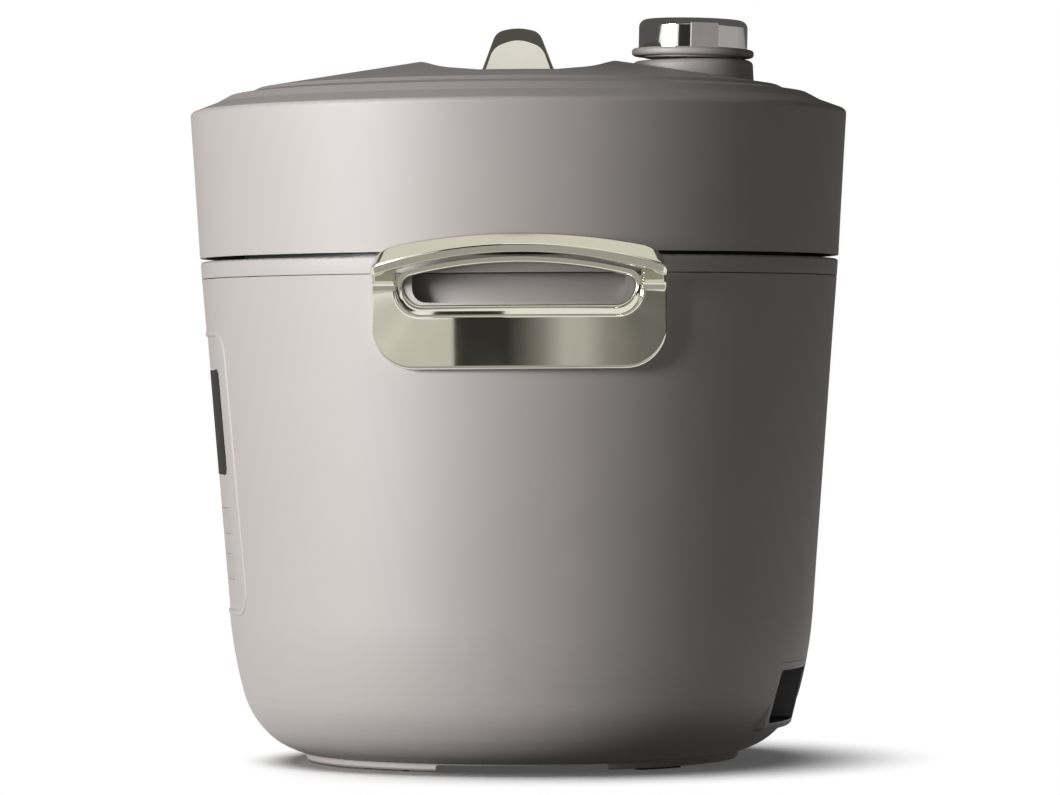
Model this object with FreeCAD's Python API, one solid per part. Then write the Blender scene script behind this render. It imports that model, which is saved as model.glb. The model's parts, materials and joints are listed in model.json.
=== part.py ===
import FreeCAD
import Part
import math
import os

# A pressure rice cooker with a lift-off, twist-lock lid. Millimetres and degrees, Z up.
# The origin lies on the floor at the drum's axis. The control panel faces -Y, the power
# inlet faces +Y and the two carrying handles stand on the +X and -X sides.

# Clearances
FIT = 0.2             # between fixed pieces that sit in one another
REST = 0.3            # between a loose piece and its seat
RUN = 0.05            # radial clearance of a pin in its bush
SCREW_FIT = 0.1       # radial clearance of a screw in its hole
JOIN = 0.4            # how far two regions of one moulding run into each other

# Drum: outer face
BODY_TOP_Z = 220.6    # upper face of the top ring
BODY_TOP_R = 141.0
BODY_TAPER = 0.0776   # radius lost per millimetre downwards
BEND_Z = 47.9         # where the straight wall starts to turn in
BEND_ROUND = 188.0
BELLY_Z = 21.5
BELLY_IN = 7.1
BELLY_ROUND = 39.0
SOLE_Z = 8.55
SOLE_IN = 11.7
SOLE_ROUND = 31.0
LOWER_EDGE_Z = 4.4    # rim of the bottom opening
LOWER_EDGE_IN = 10.8
SHELL_WALL = 2.2
TOP_RING_H = 7.4
RING_JOINT = 0.4      # dark line between the shell and its top ring

# Foot and base
PAD_H = 0.8
PAD_HALF_ANGLE = 7.0
PAD_ANGLES = (40.0, 140.0, 220.0, 320.0)
PAD_EDGE = 1.0
FOOT_IN = 2.2         # step from the drum's lower edge to the foot ring
FOOT_W = 8.0
FOOT_DRAFT = 0.4
FOOT_CHAMFER = 0.8
FOOT_FILLET = 0.8
NOTCH_HALF = 37.0     # half width of the gap in the foot ring at each side
NOTCH_ROUND = 1.2
BASE_PLATE_H = 2.0
BASE_FLANGE_W = 4.0
BASE_LIP_CLEAR = 4.2  # underside of the base plate above the drum's lower edge
VENT_COUNT = 7
VENT_PITCH = 9.0
VENT_W = 3.0
VENT_HALF = 26.0
VENT_Y = -50.0

# Posts that carry the outer pot
POST_R = 5.0
POST_IN = 21.0        # from the inner pot's wall in to the posts
POST_ANGLES = (45.0, 135.0, 225.0, 315.0)
POST_SCREW_R = 2.0
POST_SCREW_HEAD_R = 3.8
POST_SCREW_HEAD_H = 2.0
POST_SCREW_LEN = 12.0

# Inner pot
POT_GAP = 38.0        # from the drum's top edge in to the inner pot
POT_WALL = 2.0
POT_FLOOR = 2.6
POT_CORNER = 16.0
POT_RIM_Z = 226.0
POT_RIM_W = 6.5
POT_RIM_H = 2.4
POT_RIM_ROUND = 1.0

# Outer pot and its locking lugs
WELL_GAP = 2.3        # from the inner pot's wall to the outer pot's wall
WELL_WALL = 1.4
WELL_FLOOR_Z = 50.5
WELL_CORNER = 12.0
WELL_RIM_DROP = 2.3   # from the inner pot's rim down to the outer pot's rim
WELL_RIM_H = 2.0
WELL_RIM_W = 6.2
LUG_COUNT = 6
LUG_ANGLE = 26.0
LUG_REACH = 5.5
LUG_DROP = 1.8        # height between the two rings of lugs
LUG_H = 2.2
LUG_SIDE = 1.1

# Heater and sensor
HEATER_IN = 13.0      # from the inner pot's wall in to the plate's edge
HEATER_H = 12.7
HEATER_ROUND = 3.0
HEATER_BORE = 17.0
HEATER_LEG_R = 6.0
HEATER_LEG_R0 = 45.0
HEATER_LEG_ANGLES = (90.0, 210.0, 330.0)
ELEMENT_IN = 22.0     # from the plate's edge in to the element
ELEMENT_R = 4.0
ELEMENT_SINK = 2.0    # height of the element's centre above the plate's underside
TERMINAL_R = 2.5
TERMINAL_ANGLES = (172.0, 188.0)
TERMINAL_DROP = 8.0   # below the outer pot's floor
TERMINAL_HOLE_R = 5.0
SENSOR_R = 15.0
SENSOR_CAP_H = 2.8
SENSOR_ROUND = 1.0
SENSOR_NECK_R = 9.5
SENSOR_NECK_WALL = 1.3
SENSOR_STEM_R = 3.0
SENSOR_STROKE = 1.5
GUIDE_WALL = 1.5
GUIDE_DEPTH = 14.0    # below the outer pot's floor
GUIDE_RISE = 2.0
GUIDE_FLANGE_R = 17.0
GUIDE_GAP = 0.5
SPRING_R = 6.0
SPRING_WIRE_R = 0.6
SPRING_TURNS = 6
SPRING_STEPS = 8      # points on each turn

# Power board
BOARD_T = 1.6
POWER_BOARD_Z = 22.0
POWER_BOARD_X = (-58.0, 36.0)
POWER_BOARD_Y = (-38.0, 38.0)
STANDOFF_R = 3.2
STANDOFF_IN = 5.0
TRANSFORMER = (30.0, 26.0, 19.0)
TRANSFORMER_AT = (-36.0, 0.0)
RELAY = (19.0, 15.0, 13.0)
RELAY_AT = (23.0, 22.0)
CAPACITOR_R = 6.5
CAPACITOR_H = 12.0
CAPACITOR_AT = (24.0, -22.0)

# Control panel
PANEL_Z0 = 66.8
PANEL_Z1 = 188.9
PANEL_HALF = 43.0
PANEL_ROUND = 10.0
PANEL_GROOVE = 0.5
PANEL_SUNK = 0.35     # panel face below the drum's face
PANEL_T = 4.4         # panel back below the drum's face
PANEL_FLANGE = 4.0
DISPLAY_Z0 = 127.4
DISPLAY_Z1 = 173.1
DISPLAY_HALF = 37.3
DISPLAY_ROUND = 3.0
DISPLAY_SUNK = 0.2
DISPLAY_T = 1.8
DISPLAY_LEDGE = 2.0
BUTTON_HALF_W = 10.0
BUTTON_H = 11.0
BUTTON_ROUND = 3.0
BUTTON_X = (-26.0, 0.0, 26.0)
BUTTON_Z = (107.0, 87.0)
BUTTON_STROKE = 0.8
BUTTON_FLANGE = 1.4
BUTTON_FLANGE_T = 1.5
BUTTON_STEM_R = 2.0
BUTTON_NAMES = (("button_menu", "button_minus", "button_plus"),
                ("button_cancel", "button_warm", "button_start"))

# Control board, square to the tapered wall
CONTROL_DEPTH = 17.5  # front face of the board below the drum's face
CONTROL_HALF = 36.0
SWITCH_HALF = 3.0
SWITCH_H = 3.4
SWITCH_GAP = 1.0      # between a button's stem and its switch
MODULE_IN = 2.5
MODULE_GAP = 0.8
BOSS_R = 3.2
BOSS_X = 30.0
BOSS_GAP = 2.3        # from a button's flange to a boss
BOSS_RISE = 6.9       # from the display up to the middle of the upper bosses
BOARD_EDGE = 4.0      # from a boss's middle to the board's edge
BOARD_SCREW_R = 1.4
BOARD_SCREW_HEAD_R = 2.8
BOARD_SCREW_HEAD_H = 1.8
BOARD_SCREW_LEN = 8.0

# Power inlet at the back
INLET_X = 34.0
INLET_HALF = 20.5
INLET_Z0 = 17.0
INLET_Z1 = 42.4
INLET_FRAME = 2.0
INLET_ROUND = 2.0
INLET_SUNK = 14.9     # from the drum's top edge in to the frame's upper edge
INLET_LEAN = 7.3      # its flat face leans in towards its lower edge
INLET_CORNER = 3.0
INLET_DEPTH = 25.6
INLET_SLEEVE = 1.2
INLET_SLEEVE_SUNK = 0.2
INLET_PLATE_T = 2.0
SOCKET_HALF = 12.4
SOCKET_HALF_H = 8.5
SOCKET_CHAMFER = 4.0
SOCKET_DEPTH = 16.0
SOCKET_WALL = 2.2
PIN_HALF_W = 1.0
PIN_HALF_H = 2.0
PIN_TAIL = 6.0
PIN_SHORT = 2.5       # pin tips below the socket's mouth
PIN_PLACES = ((-7.0, -2.0), (0.0, 2.0), (7.0, -2.0))

# Carrying handles
HANDLE_HALF = 61.7
HANDLE_Z0 = 172.5
HANDLE_T = 4.5
HANDLE_GAP = 0.2
HANDLE_CORNER = 15.0
KNEE_Z = 205.0        # where the arms leave the plate
ARM_H = 7.5
ARM_ROUND = 4.0
ARM_EDGE = 2.2
GRIP_REACH = 25.0     # from the drum's top edge out to the grip's front
GRIP_T = 10.0
GRIP_TOP_Z = 229.8
GRIP_H = 9.0
GRIP_EDGE = 4.0
GRIP_END = 3.4
GRIP_ARCH_ROUND = 288.0
STILE_W = 12.9        # from the handle's end in to the finger opening
SLOT_Z0 = 198.6
SLOT_ROUND = 8.5
SLOT_TOP_ROUND = 4.5
BEZEL_W = 2.2
BEZEL_FOOT_W = 3.8
BEZEL_TOP_W = 2.9
BEZEL_TOP_DROP = 0.9  # below the grip's lower edge
BEZEL_T = 2.6
BEZEL_GAP = 0.15
POCKET_DEPTH = 10.0   # finger pocket behind the grip
POCKET_IN = 3.8       # from the finger opening in to the pocket's side
POCKET_Z0 = 200.6
POCKET_ROUND = 6.0
POCKET_WALL = 2.0
HANDLE_SCREW_ANGLE = 17.0
HANDLE_SCREW_Z = 183.5
HANDLE_SCREW_R = 1.9
HANDLE_SCREW_DEPTH = 3.0
HANDLE_SCREW_HEAD_R = 3.6
HANDLE_SCREW_HEAD_H = 2.2

# Channel of the top ring
CHANNEL_FLOOR = 1.6
CHANNEL_DROP = 0.2    # channel floor below the shell's joint line
CHANNEL_GAP = 1.5     # to the outer pot
SKIRT_GAP = 1.7       # from the lid's skirt to the ring
SPIGOT_H = 6.0
SPIGOT_W = 2.4
RING_ROUND = 1.2

# Lid cover
SEAM_GAP = 1.6
LID_OVERHANG = 0.2
LID_SIDE_H = 64.1
LID_FLARE = 0.0612
LID_WALL = 2.8
RIM_ROUND = 2.5
RIM_BAND_W = 11.3
RIM_BAND_H = 4.2
STEP_W = 6.2
STEP_H = 3.4
TERRACE_W = 9.0
TERRACE_H = 1.5
TREAD_W = 3.4
TREAD_H = 1.7
CONE_SLOPE = 0.16
STEP_ROUND = 1.4
DISH_HALF_LENGTH = 92.0
DISH_FLAT = 17.0
DISH_SHOULDER_Y = 33.0
DISH_SHOULDER_H = 2.2
DISH_RIDGE_Y = 44.0
DISH_ROUND = 30.0
LID_BOSS_R = 4.5
LID_BOSS_IN = 14.0    # from the inner pot's wall in to the bosses
LID_BOSS_ANGLES = (45.0, 135.0, 225.0, 315.0)
LID_SCREW_R = 1.8
LID_SCREW_HEAD_R = 3.6
LID_SCREW_HEAD_H = 2.2
LID_SCREW_LEN = 14.0

# Lid liner, inner lid and seal
LINER_RISE = 14.0     # liner's underside above the inner pot's rim
LINER_T = 1.5
LINER_SHOULDER = 8.5
LINER_ROUND = 7.0
SKIRT_CLEAR = 1.0
SEAL_W = 13.0
SEAL_OUT = 0.5
SEAL_GROOVE = 5.8
SEAL_ROUND = 1.5
INNER_LID_RISE = 3.8
INNER_LID_T = 1.2
STEAM_HOLE_R = 3.0
STEAM_HOLE_RING_R = 55.0
STEAM_HOLES = 6
STUD_R = 3.0
STUD_NUT_R = 6.0
STUD_NUT_H = 3.4
STUD_HEAD_R = 7.0
STUD_HEAD_H = 2.5
GROMMET_R = 6.9
GROMMET_FLANGE_R = 10.0
GROMMET_FLANGE_H = 1.4

# Lid handle
BAR_HALF = 47.0
BAR_FOOT_HALF = 16.6
BAR_TOP_HALF = 9.8
BAR_SHOULDER_H = 19.2
BAR_H = 20.8
BAR_SHOULDER_ROUND = 4.5
BAR_CROWN_ROUND = 25.0
BAR_END_LEAN = 3.0
BAR_END_ROUND = 9.0
BAR_CORNER = 11.0
BAR_SCREW_X = 32.0
BAR_SCREW_R = 2.0
BAR_SCREW_HEAD_R = 4.0
BAR_SCREW_HEAD_H = 2.4
BAR_SCREW_DEPTH = 8.0

# Steam valve
VALVE_IN = 25.7       # from the inner pot's wall in to the steam pipe
VALVE_TILT = 1.5      # the loose cap leans back on its pipe
TOWER_R = 26.6
TOWER_DRAFT = 0.6
TOWER_TOP_Z = 308.6
TOWER_ROUND = 2.5
TOWER_WALL = 2.8
TOWER_ROOT = 14.0
PIPE_R = 5.0
PIPE_BORE = 2.0
PIPE_FLANGE_R = 9.0
PIPE_FLANGE_H = 3.0
PIPE_RISE = 3.6       # above the tower
PIPE_THREAD_H = 4.5   # below the liner
PIPE_HOLE_GAP = 3.0
PIPE_NUT_R = 8.5
PIPE_NUT_H = 3.0
FILTER_R = 15.0
FILTER_WALL = 1.0
FILTER_H = 7.5
FILTER_SLOTS = 8
FILTER_SLOT_W = 3.0
CAP_LIFT = 1.0        # underside of the cap's neck above the tower
NECK_R = 21.5
NECK_H = 0.7
FLANGE_R = 27.0
FLANGE_H = 3.4
FLANGE_ROUND = 1.4
CORE_R = 22.4
CORE_H = 10.8
CORE_BORE_GAP = 0.35
CORE_SEAT_T = 1.0
CORE_SEAT_R = 3.0
WEIGHT_R = 6.0
WEIGHT_H = 7.0
WEIGHT_TIP_R = 1.5
WEIGHT_TIP_H = 1.5
WEIGHT_GAP = 0.3
CHROME_R = 24.05
CHROME_H = 13.0
CHROME_TOP = 1.8
CHROME_ROUND = 3.5
TAB_W = 12.0
TAB_H = 10.6
TAB_REACH = 25.7
TAB_ANGLE = 10.0

# Float valve
FLOAT_X = -36.0
FLOAT_Y = 50.0
FLOAT_R = 2.5
FLOAT_HEAD_R = 5.5
FLOAT_HEAD_H = 1.8
FLOAT_SEAL_H = 2.2
FLOAT_STROKE = 4.0
FLOAT_SUNK = 1.5      # pin top below the lid's face at rest
FLOAT_COLLAR_R = 5.0
FLOAT_COLLAR_H = 1.5
FLOAT_HOLE_GAP = 0.4

# Reach of cutting shapes that only have to pass right through
FAR = 400.0

# Derived heights and radii
SHELL_TOP_Z = BODY_TOP_Z - TOP_RING_H - RING_JOINT
POT_R = BODY_TOP_R - POT_GAP
HEATER_R = POT_R - HEATER_IN
ELEMENT_RING_R = HEATER_R - ELEMENT_IN
POST_RING_R = POT_R - POST_IN
LID_BOSS_RING_R = POT_R - LID_BOSS_IN
VALVE_Y = POT_R - VALVE_IN
GRIP_R = BODY_TOP_R + GRIP_REACH
SLOT_HALF = HANDLE_HALF - STILE_W
POCKET_HALF = SLOT_HALF - POCKET_IN
BOSS_Z = (min(BUTTON_Z) - BUTTON_H / 2 - BUTTON_FLANGE - BOSS_GAP - BOSS_R, DISPLAY_Z1 + BOSS_RISE)
CONTROL_Z0 = min(BOSS_Z) - BOARD_EDGE
CONTROL_Z1 = max(BOSS_Z) + BOARD_EDGE
INLET_UPPER_R = BODY_TOP_R - INLET_SUNK
INLET_LOWER_R = INLET_UPPER_R - INLET_LEAN
INLET_FLOOR_Y = INLET_UPPER_R - INLET_DEPTH
POT_OUT_R = POT_R + POT_WALL
POT_RIM_R = POT_OUT_R + POT_RIM_W
WELL_IN_R = POT_OUT_R + WELL_GAP
WELL_OUT_R = WELL_IN_R + WELL_WALL
WELL_RIM_R = WELL_IN_R + WELL_RIM_W
WELL_RIM_Z = POT_RIM_Z - POT_RIM_H - WELL_RIM_DROP
WELL_RIM_Z0 = WELL_RIM_Z - WELL_RIM_H
WELL_INSIDE_Z = WELL_FLOOR_Z + WELL_WALL
LUG_R = WELL_RIM_R + LUG_REACH
LID_LUG_Z1 = WELL_RIM_Z0 - LUG_DROP
LID_LUG_Z0 = LID_LUG_Z1 - LUG_H
LID_LUG_R = WELL_RIM_R + LUG_SIDE
SKIRT_IN_R = LUG_R + SKIRT_CLEAR
SKIRT_OUT_R = SKIRT_IN_R + LINER_T
RING_IN_R = SKIRT_OUT_R + SKIRT_GAP
HEATER_Z0 = WELL_INSIDE_Z + ELEMENT_R - ELEMENT_SINK + JOIN + JOIN
HEATER_Z1 = HEATER_Z0 + HEATER_H
POT_Z0 = HEATER_Z1 + REST
BASE_PLATE_Z0 = LOWER_EDGE_Z + BASE_LIP_CLEAR
BASE_PLATE_Z1 = BASE_PLATE_Z0 + BASE_PLATE_H
LINER_Z0 = POT_RIM_Z + LINER_RISE
LINER_Z1 = LINER_Z0 + LINER_T
INNER_LID_Z0 = POT_RIM_Z + INNER_LID_RISE
INNER_LID_Z1 = INNER_LID_Z0 + INNER_LID_T
SEAL_R1 = POT_RIM_R + SEAL_OUT
SEAL_R0 = SEAL_R1 - SEAL_W
LID_BOTTOM_Z = BODY_TOP_Z + SEAM_GAP
LID_BOTTOM_R = BODY_TOP_R + LID_OVERHANG
RIM_R = LID_BOTTOM_R + LID_SIDE_H * LID_FLARE
RIM_Z = LID_BOTTOM_Z + LID_SIDE_H
CONE_R = RIM_R - RIM_BAND_W - STEP_W - TERRACE_W - TREAD_W
CONE_Z = RIM_Z + RIM_BAND_H + STEP_H + TERRACE_H + TREAD_H
DISH_Z = CONE_Z + (CONE_R - DISH_HALF_LENGTH) * CONE_SLOPE
INLET_MID_Z = (INLET_Z0 + INLET_Z1) / 2
INLET_OUT = INLET_HALF + INLET_FRAME


def vec(x, y, z):
    return FreeCAD.Vector(x, y, z)


UP = vec(0, 0, 1)
ORIGIN = vec(0, 0, 0)


def in_xz(u, v):
    return vec(u, 0, v)


def in_yz(u, v):
    return vec(0, u, v)


def in_xy(u, v):
    return vec(u, v, 0)


def corner_arc(before, corner, after, radius):
    """Start, middle and end of the arc that rounds one corner of an outline."""
    back = (before - corner).normalize()
    ahead = (after - corner).normalize()
    half = back.getAngle(ahead) / 2
    reach = radius / math.tan(half)
    middle = (back + ahead).normalize() * (radius / math.sin(half) - radius)
    return corner + back * reach, corner + middle, corner + ahead * reach


def outline(corners, place):
    """Closed face through corners (u, v) or (u, v, rounding radius)."""
    points = [place(corner[0], corner[1]) for corner in corners]
    rounds = [corner[2] if len(corner) > 2 else 0 for corner in corners]
    count = len(points)
    stops = []
    for i in range(count):
        if rounds[i] > 0:
            stops.append(corner_arc(points[i - 1], points[i], points[(i + 1) % count], rounds[i]))
        else:
            stops.append((points[i], None, points[i]))
    edges = []
    for i in range(count):
        start, middle, end = stops[i]
        if middle is not None:
            edges.append(Part.Arc(start, middle, end).toShape())
        following = stops[(i + 1) % count][0]
        if end.distanceToPoint(following) > 1e-6:
            edges.append(Part.makeLine(end, following))
    return Part.Face(Part.Wire(edges))


def spun(corners, angle=360.0, start=0.0):
    """Outline (r, z) turned about the drum's axis."""
    solid = outline(corners, in_xz).revolve(ORIGIN, UP, angle)
    solid.rotate(ORIGIN, UP, start)
    return solid


def prism_x(corners, x0, x1):
    """Outline (y, z) drawn out along X."""
    solid = outline(corners, in_yz).extrude(vec(x1 - x0, 0, 0))
    solid.translate(vec(x0, 0, 0))
    return solid


def prism_y(corners, y0, y1):
    """Outline (x, z) drawn out along Y."""
    solid = outline(corners, in_xz).extrude(vec(0, y1 - y0, 0))
    solid.translate(vec(0, y0, 0))
    return solid


def prism_z(corners, z0, z1):
    """Outline (x, y) drawn out along Z."""
    solid = outline(corners, in_xy).extrude(vec(0, 0, z1 - z0))
    solid.translate(vec(0, 0, z0))
    return solid


def rectangle(u0, u1, v0, v1, radius=0.0):
    return [(u0, v0, radius), (u1, v0, radius), (u1, v1, radius), (u0, v1, radius)]


def block(x0, x1, y0, y1, z0, z1):
    return Part.makeBox(x1 - x0, y1 - y0, z1 - z0, vec(x0, y0, z0))


def rod(radius, z0, z1, x=0.0, y=0.0):
    return Part.makeCylinder(radius, z1 - z0, vec(x, y, z0))


def tube(outer, inner, z0, z1, x=0.0, y=0.0):
    return rod(outer, z0, z1, x, y).cut(rod(inner, z0, z1, x, y))


def sector(r0, r1, z0, z1, middle, width):
    """Piece of a flat ring, width degrees long, about the angle middle."""
    return spun(rectangle(r0, r1, z0, z1), width, middle - width / 2)


def polar(radius, angle):
    turn = math.radians(angle)
    return radius * math.cos(turn), radius * math.sin(turn)


def turned(shape, angle):
    copy = shape.copy()
    copy.rotate(ORIGIN, UP, angle)
    return copy


def joined(shapes):
    """One solid from shapes that run into each other."""
    return shapes[0].multiFuse(shapes[1:]).removeSplitter()


def group(shapes):
    return Part.makeCompound(shapes)


def shifted(path, wall, first, last):
    """Open path moved to its left by wall. Its ends stay on their own r or z."""
    lines = []
    for a, b in zip(path, path[1:]):
        length = math.hypot(b[0] - a[0], b[1] - a[1])
        along = ((b[0] - a[0]) / length, (b[1] - a[1]) / length)
        lines.append(((a[0] - along[1] * wall, a[1] + along[0] * wall), along))
    moved = [end_point(lines[0], path[0], first)]
    for i in range(1, len(path) - 1):
        (p, d), (q, e) = lines[i - 1], lines[i]
        cross = d[0] * e[1] - d[1] * e[0]
        reach = ((q[0] - p[0]) * e[1] - (q[1] - p[1]) * e[0]) / cross
        radius = path[i][2] - math.copysign(wall, cross)
        rounded = max(radius, 0.0) if path[i][2] > 0 else 0.0
        moved.append((p[0] + d[0] * reach, p[1] + d[1] * reach, rounded))
    moved.append(end_point(lines[-1], path[-1], last))
    return moved


def end_point(line, point, kept):
    (p, d) = line
    axis = "rz".index(kept)
    reach = (point[axis] - p[axis]) / d[axis]
    return (p[0] + d[0] * reach, p[1] + d[1] * reach, 0.0)


def drum_r(z):
    """Radius of the drum's straight wall."""
    return BODY_TOP_R - (BODY_TOP_Z - z) * BODY_TAPER


def drum_path(top_z):
    """Outer face of the drum from its lower edge up."""
    bend = drum_r(BEND_Z)
    belly = bend - BELLY_IN
    sole = belly - SOLE_IN
    return [(sole - LOWER_EDGE_IN, LOWER_EDGE_Z, 0.0), (sole, SOLE_Z, SOLE_ROUND),
            (belly, BELLY_Z, BELLY_ROUND), (bend, BEND_Z, BEND_ROUND), (drum_r(top_z), top_z, 0.0)]


LOWER_EDGE_R = drum_path(BODY_TOP_Z)[0][0]
FOOT_R = LOWER_EDGE_R - FOOT_IN


def drum_layer(outer, inner, top_z=BODY_TOP_Z):
    """Layer of the drum's wall between two depths below its outer face."""
    path = drum_path(top_z)
    outside = shifted(path, outer, "r", "z")
    inside = shifted(path, inner, "r", "z")
    return spun(outside + inside[::-1])


def panel_outline(grow=0.0):
    return rectangle(-PANEL_HALF - grow, PANEL_HALF + grow, PANEL_Z0 - grow, PANEL_Z1 + grow,
                     PANEL_ROUND + grow)


def display_outline(grow=0.0):
    return rectangle(-DISPLAY_HALF - grow, DISPLAY_HALF + grow, DISPLAY_Z0 - grow,
                     DISPLAY_Z1 + grow, DISPLAY_ROUND)


def button_outline(x, z, grow=0.0):
    half = BUTTON_H / 2 + grow
    return rectangle(x - BUTTON_HALF_W - grow, x + BUTTON_HALF_W + grow, z - half, z + half,
                     BUTTON_ROUND + grow)


def button_places():
    for row, z in enumerate(BUTTON_Z):
        for column, x in enumerate(BUTTON_X):
            yield BUTTON_NAMES[row][column], x, z


def front(corners):
    """Prism through the front wall."""
    return prism_y(corners, -FAR, 0)


def inlet_outline(grow=0.0):
    return rectangle(INLET_X - INLET_HALF - grow, INLET_X + INLET_HALF + grow,
                     INLET_Z0 - grow, INLET_Z1 + grow, INLET_ROUND)


def arched(half, z0, top, foot_round, top_round):
    """Outline (y, z) with a flat foot and an arched top."""
    slope = math.asin((half - top_round) / GRIP_ARCH_ROUND)
    peak = top + GRIP_ARCH_ROUND * (1 / math.cos(slope) - 1)
    side = peak - half * math.tan(slope)
    return [(-half, z0, foot_round), (half, z0, foot_round), (half, side, top_round),
            (0, peak, GRIP_ARCH_ROUND), (-half, side, top_round)]


GRIP_LOW_Z = GRIP_TOP_Z - GRIP_H
BEZEL_HALF = SLOT_HALF + BEZEL_W
BEZEL_Z0 = SLOT_Z0 - BEZEL_FOOT_W
BEZEL_TOP_Z = GRIP_LOW_Z - BEZEL_TOP_DROP
BEZEL_ROUND = SLOT_ROUND + BEZEL_W
BEZEL_TOP_ROUND = SLOT_TOP_ROUND + BEZEL_W


def pocket_outline(grow):
    """Finger pocket (y, z), open upwards to the top ring."""
    half = POCKET_HALF + grow
    return [(-half, POCKET_Z0 - grow, POCKET_ROUND + grow), (half, POCKET_Z0 - grow, POCKET_ROUND + grow),
            (half, SHELL_TOP_Z), (-half, SHELL_TOP_Z)]


def handle_screw_axis(shape, side):
    """Shape built along +X, turned to one of the two screws of the right-hand handle."""
    return turned(shape, side * HANDLE_SCREW_ANGLE)


def radial_rod(radius, r0, r1, z):
    return Part.makeCylinder(radius, r1 - r0, vec(r0, 0, z), vec(1, 0, 0))


def body_shell():
    path = drum_path(SHELL_TOP_Z)
    shell = spun(path + shifted(path, SHELL_WALL, "r", "z")[::-1])
    backing = drum_layer(SHELL_WALL / 2, POCKET_DEPTH + POCKET_WALL, SHELL_TOP_Z)
    hollow = drum_layer(-SHELL_WALL, POCKET_DEPTH, SHELL_TOP_Z)
    walls = prism_x(pocket_outline(POCKET_WALL), 0, FAR)
    space = prism_x(pocket_outline(0.0), 0, FAR)
    for angle in (0, 180):
        shell = shell.fuse(backing.common(turned(walls, angle)))
        shell = shell.cut(hollow.common(turned(space, angle)))
    cuts = [front(panel_outline(PANEL_GROOVE)), prism_y(inlet_outline(INLET_FRAME + FIT), 0, FAR)]
    hole = radial_rod(HANDLE_SCREW_R + SCREW_FIT, BODY_TOP_R / 2, FAR, HANDLE_SCREW_Z)
    for angle in (0, 180):
        cuts += [turned(handle_screw_axis(hole, side), angle) for side in (-1, 1)]
    return shell.cut(group(cuts)).removeSplitter()


def top_ring():
    z0 = SHELL_TOP_Z + RING_JOINT
    floor_z = z0 - CHANNEL_DROP
    spigot_r = drum_r(z0 - SPIGOT_H) - SHELL_WALL - FIT - FIT
    section = [(WELL_OUT_R + CHANNEL_GAP, floor_z - CHANNEL_FLOOR), (spigot_r - SPIGOT_W, floor_z - CHANNEL_FLOOR),
               (spigot_r - SPIGOT_W, z0 - SPIGOT_H), (spigot_r, z0 - SPIGOT_H), (spigot_r, z0),
               (drum_r(z0), z0), (BODY_TOP_R, BODY_TOP_Z, RING_ROUND), (RING_IN_R, BODY_TOP_Z, RING_ROUND),
               (RING_IN_R, floor_z), (WELL_OUT_R + CHANNEL_GAP, floor_z)]
    ring = spun(section)
    half = POCKET_HALF + POCKET_WALL + FIT
    inner = drum_r(POCKET_Z0) - POCKET_DEPTH - POCKET_WALL - FIT - POCKET_WALL
    room = block(-FAR, FAR, -half, half, z0 - SPIGOT_H - FIT, z0).cut(rod(inner, 0, FAR))
    return ring.cut(room)


def base_pan():
    edge = LOWER_EDGE_R - REST
    section = [(0, BASE_PLATE_Z0), (FOOT_R - FOOT_W, BASE_PLATE_Z0), (FOOT_R - FOOT_W, PAD_H),
               (FOOT_R - FOOT_DRAFT - FOOT_CHAMFER, PAD_H), (FOOT_R - FOOT_DRAFT, PAD_H + FOOT_CHAMFER),
               (FOOT_R, LOWER_EDGE_Z, FOOT_FILLET),
               (edge, LOWER_EDGE_Z), (edge, BASE_PLATE_Z0),
               (LOWER_EDGE_R + BASE_FLANGE_W, BASE_PLATE_Z0), (LOWER_EDGE_R + BASE_FLANGE_W, BASE_PLATE_Z1),
               (0, BASE_PLATE_Z1)]
    notch_top = LOWER_EDGE_Z - FOOT_FILLET - FIT
    notch = [(-NOTCH_HALF, -PAD_H), (NOTCH_HALF, -PAD_H), (NOTCH_HALF, notch_top, NOTCH_ROUND),
             (-NOTCH_HALF, notch_top, NOTCH_ROUND)]
    inner = FOOT_R * math.cos(math.asin(NOTCH_HALF / FOOT_R)) - FOOT_W - FOOT_W
    pan = spun(section)
    cuts = [prism_x(notch, inner, FAR), prism_x(notch, -FAR, -inner)]
    for i in range(VENT_COUNT):
        x = (i - (VENT_COUNT - 1) / 2) * VENT_PITCH
        slot = rectangle(x - VENT_W / 2, x + VENT_W / 2, VENT_Y - VENT_HALF / 2, VENT_Y + VENT_HALF / 2)
        cuts.append(prism_z(slot, 0, BASE_PLATE_Z1 + JOIN))
    for angle in POST_ANGLES:
        cuts.append(rod(POST_SCREW_R + SCREW_FIT, 0, BASE_PLATE_Z1 + JOIN, *polar(POST_RING_R, angle)))
    pan = pan.cut(group(cuts))
    standoffs = []
    for x, y in standoff_places():
        standoffs.append(rod(STANDOFF_R, BASE_PLATE_Z0, POWER_BOARD_Z, x, y))
    return joined([pan] + standoffs)


def standoff_places():
    for x in (POWER_BOARD_X[0] + STANDOFF_IN, POWER_BOARD_X[1] - STANDOFF_IN):
        for y in (POWER_BOARD_Y[0] + STANDOFF_IN, POWER_BOARD_Y[1] - STANDOFF_IN):
            yield x, y


def foot_pads():
    pads = []
    for angle in PAD_ANGLES:
        pads.append(sector(FOOT_R - FOOT_W + PAD_EDGE, FOOT_R - FOOT_DRAFT - FOOT_CHAMFER - PAD_EDGE, 0, PAD_H,
                           angle, 2 * PAD_HALF_ANGLE))
    return group(pads)


def support_posts():
    posts = []
    for angle in POST_ANGLES:
        x, y = polar(POST_RING_R, angle)
        post = rod(POST_R, BASE_PLATE_Z1, WELL_FLOOR_Z, x, y)
        posts.append(post.cut(rod(POST_SCREW_R + SCREW_FIT, BASE_PLATE_Z1, BASE_PLATE_Z1 + POST_SCREW_LEN, x, y)))
    return group(posts)


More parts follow.
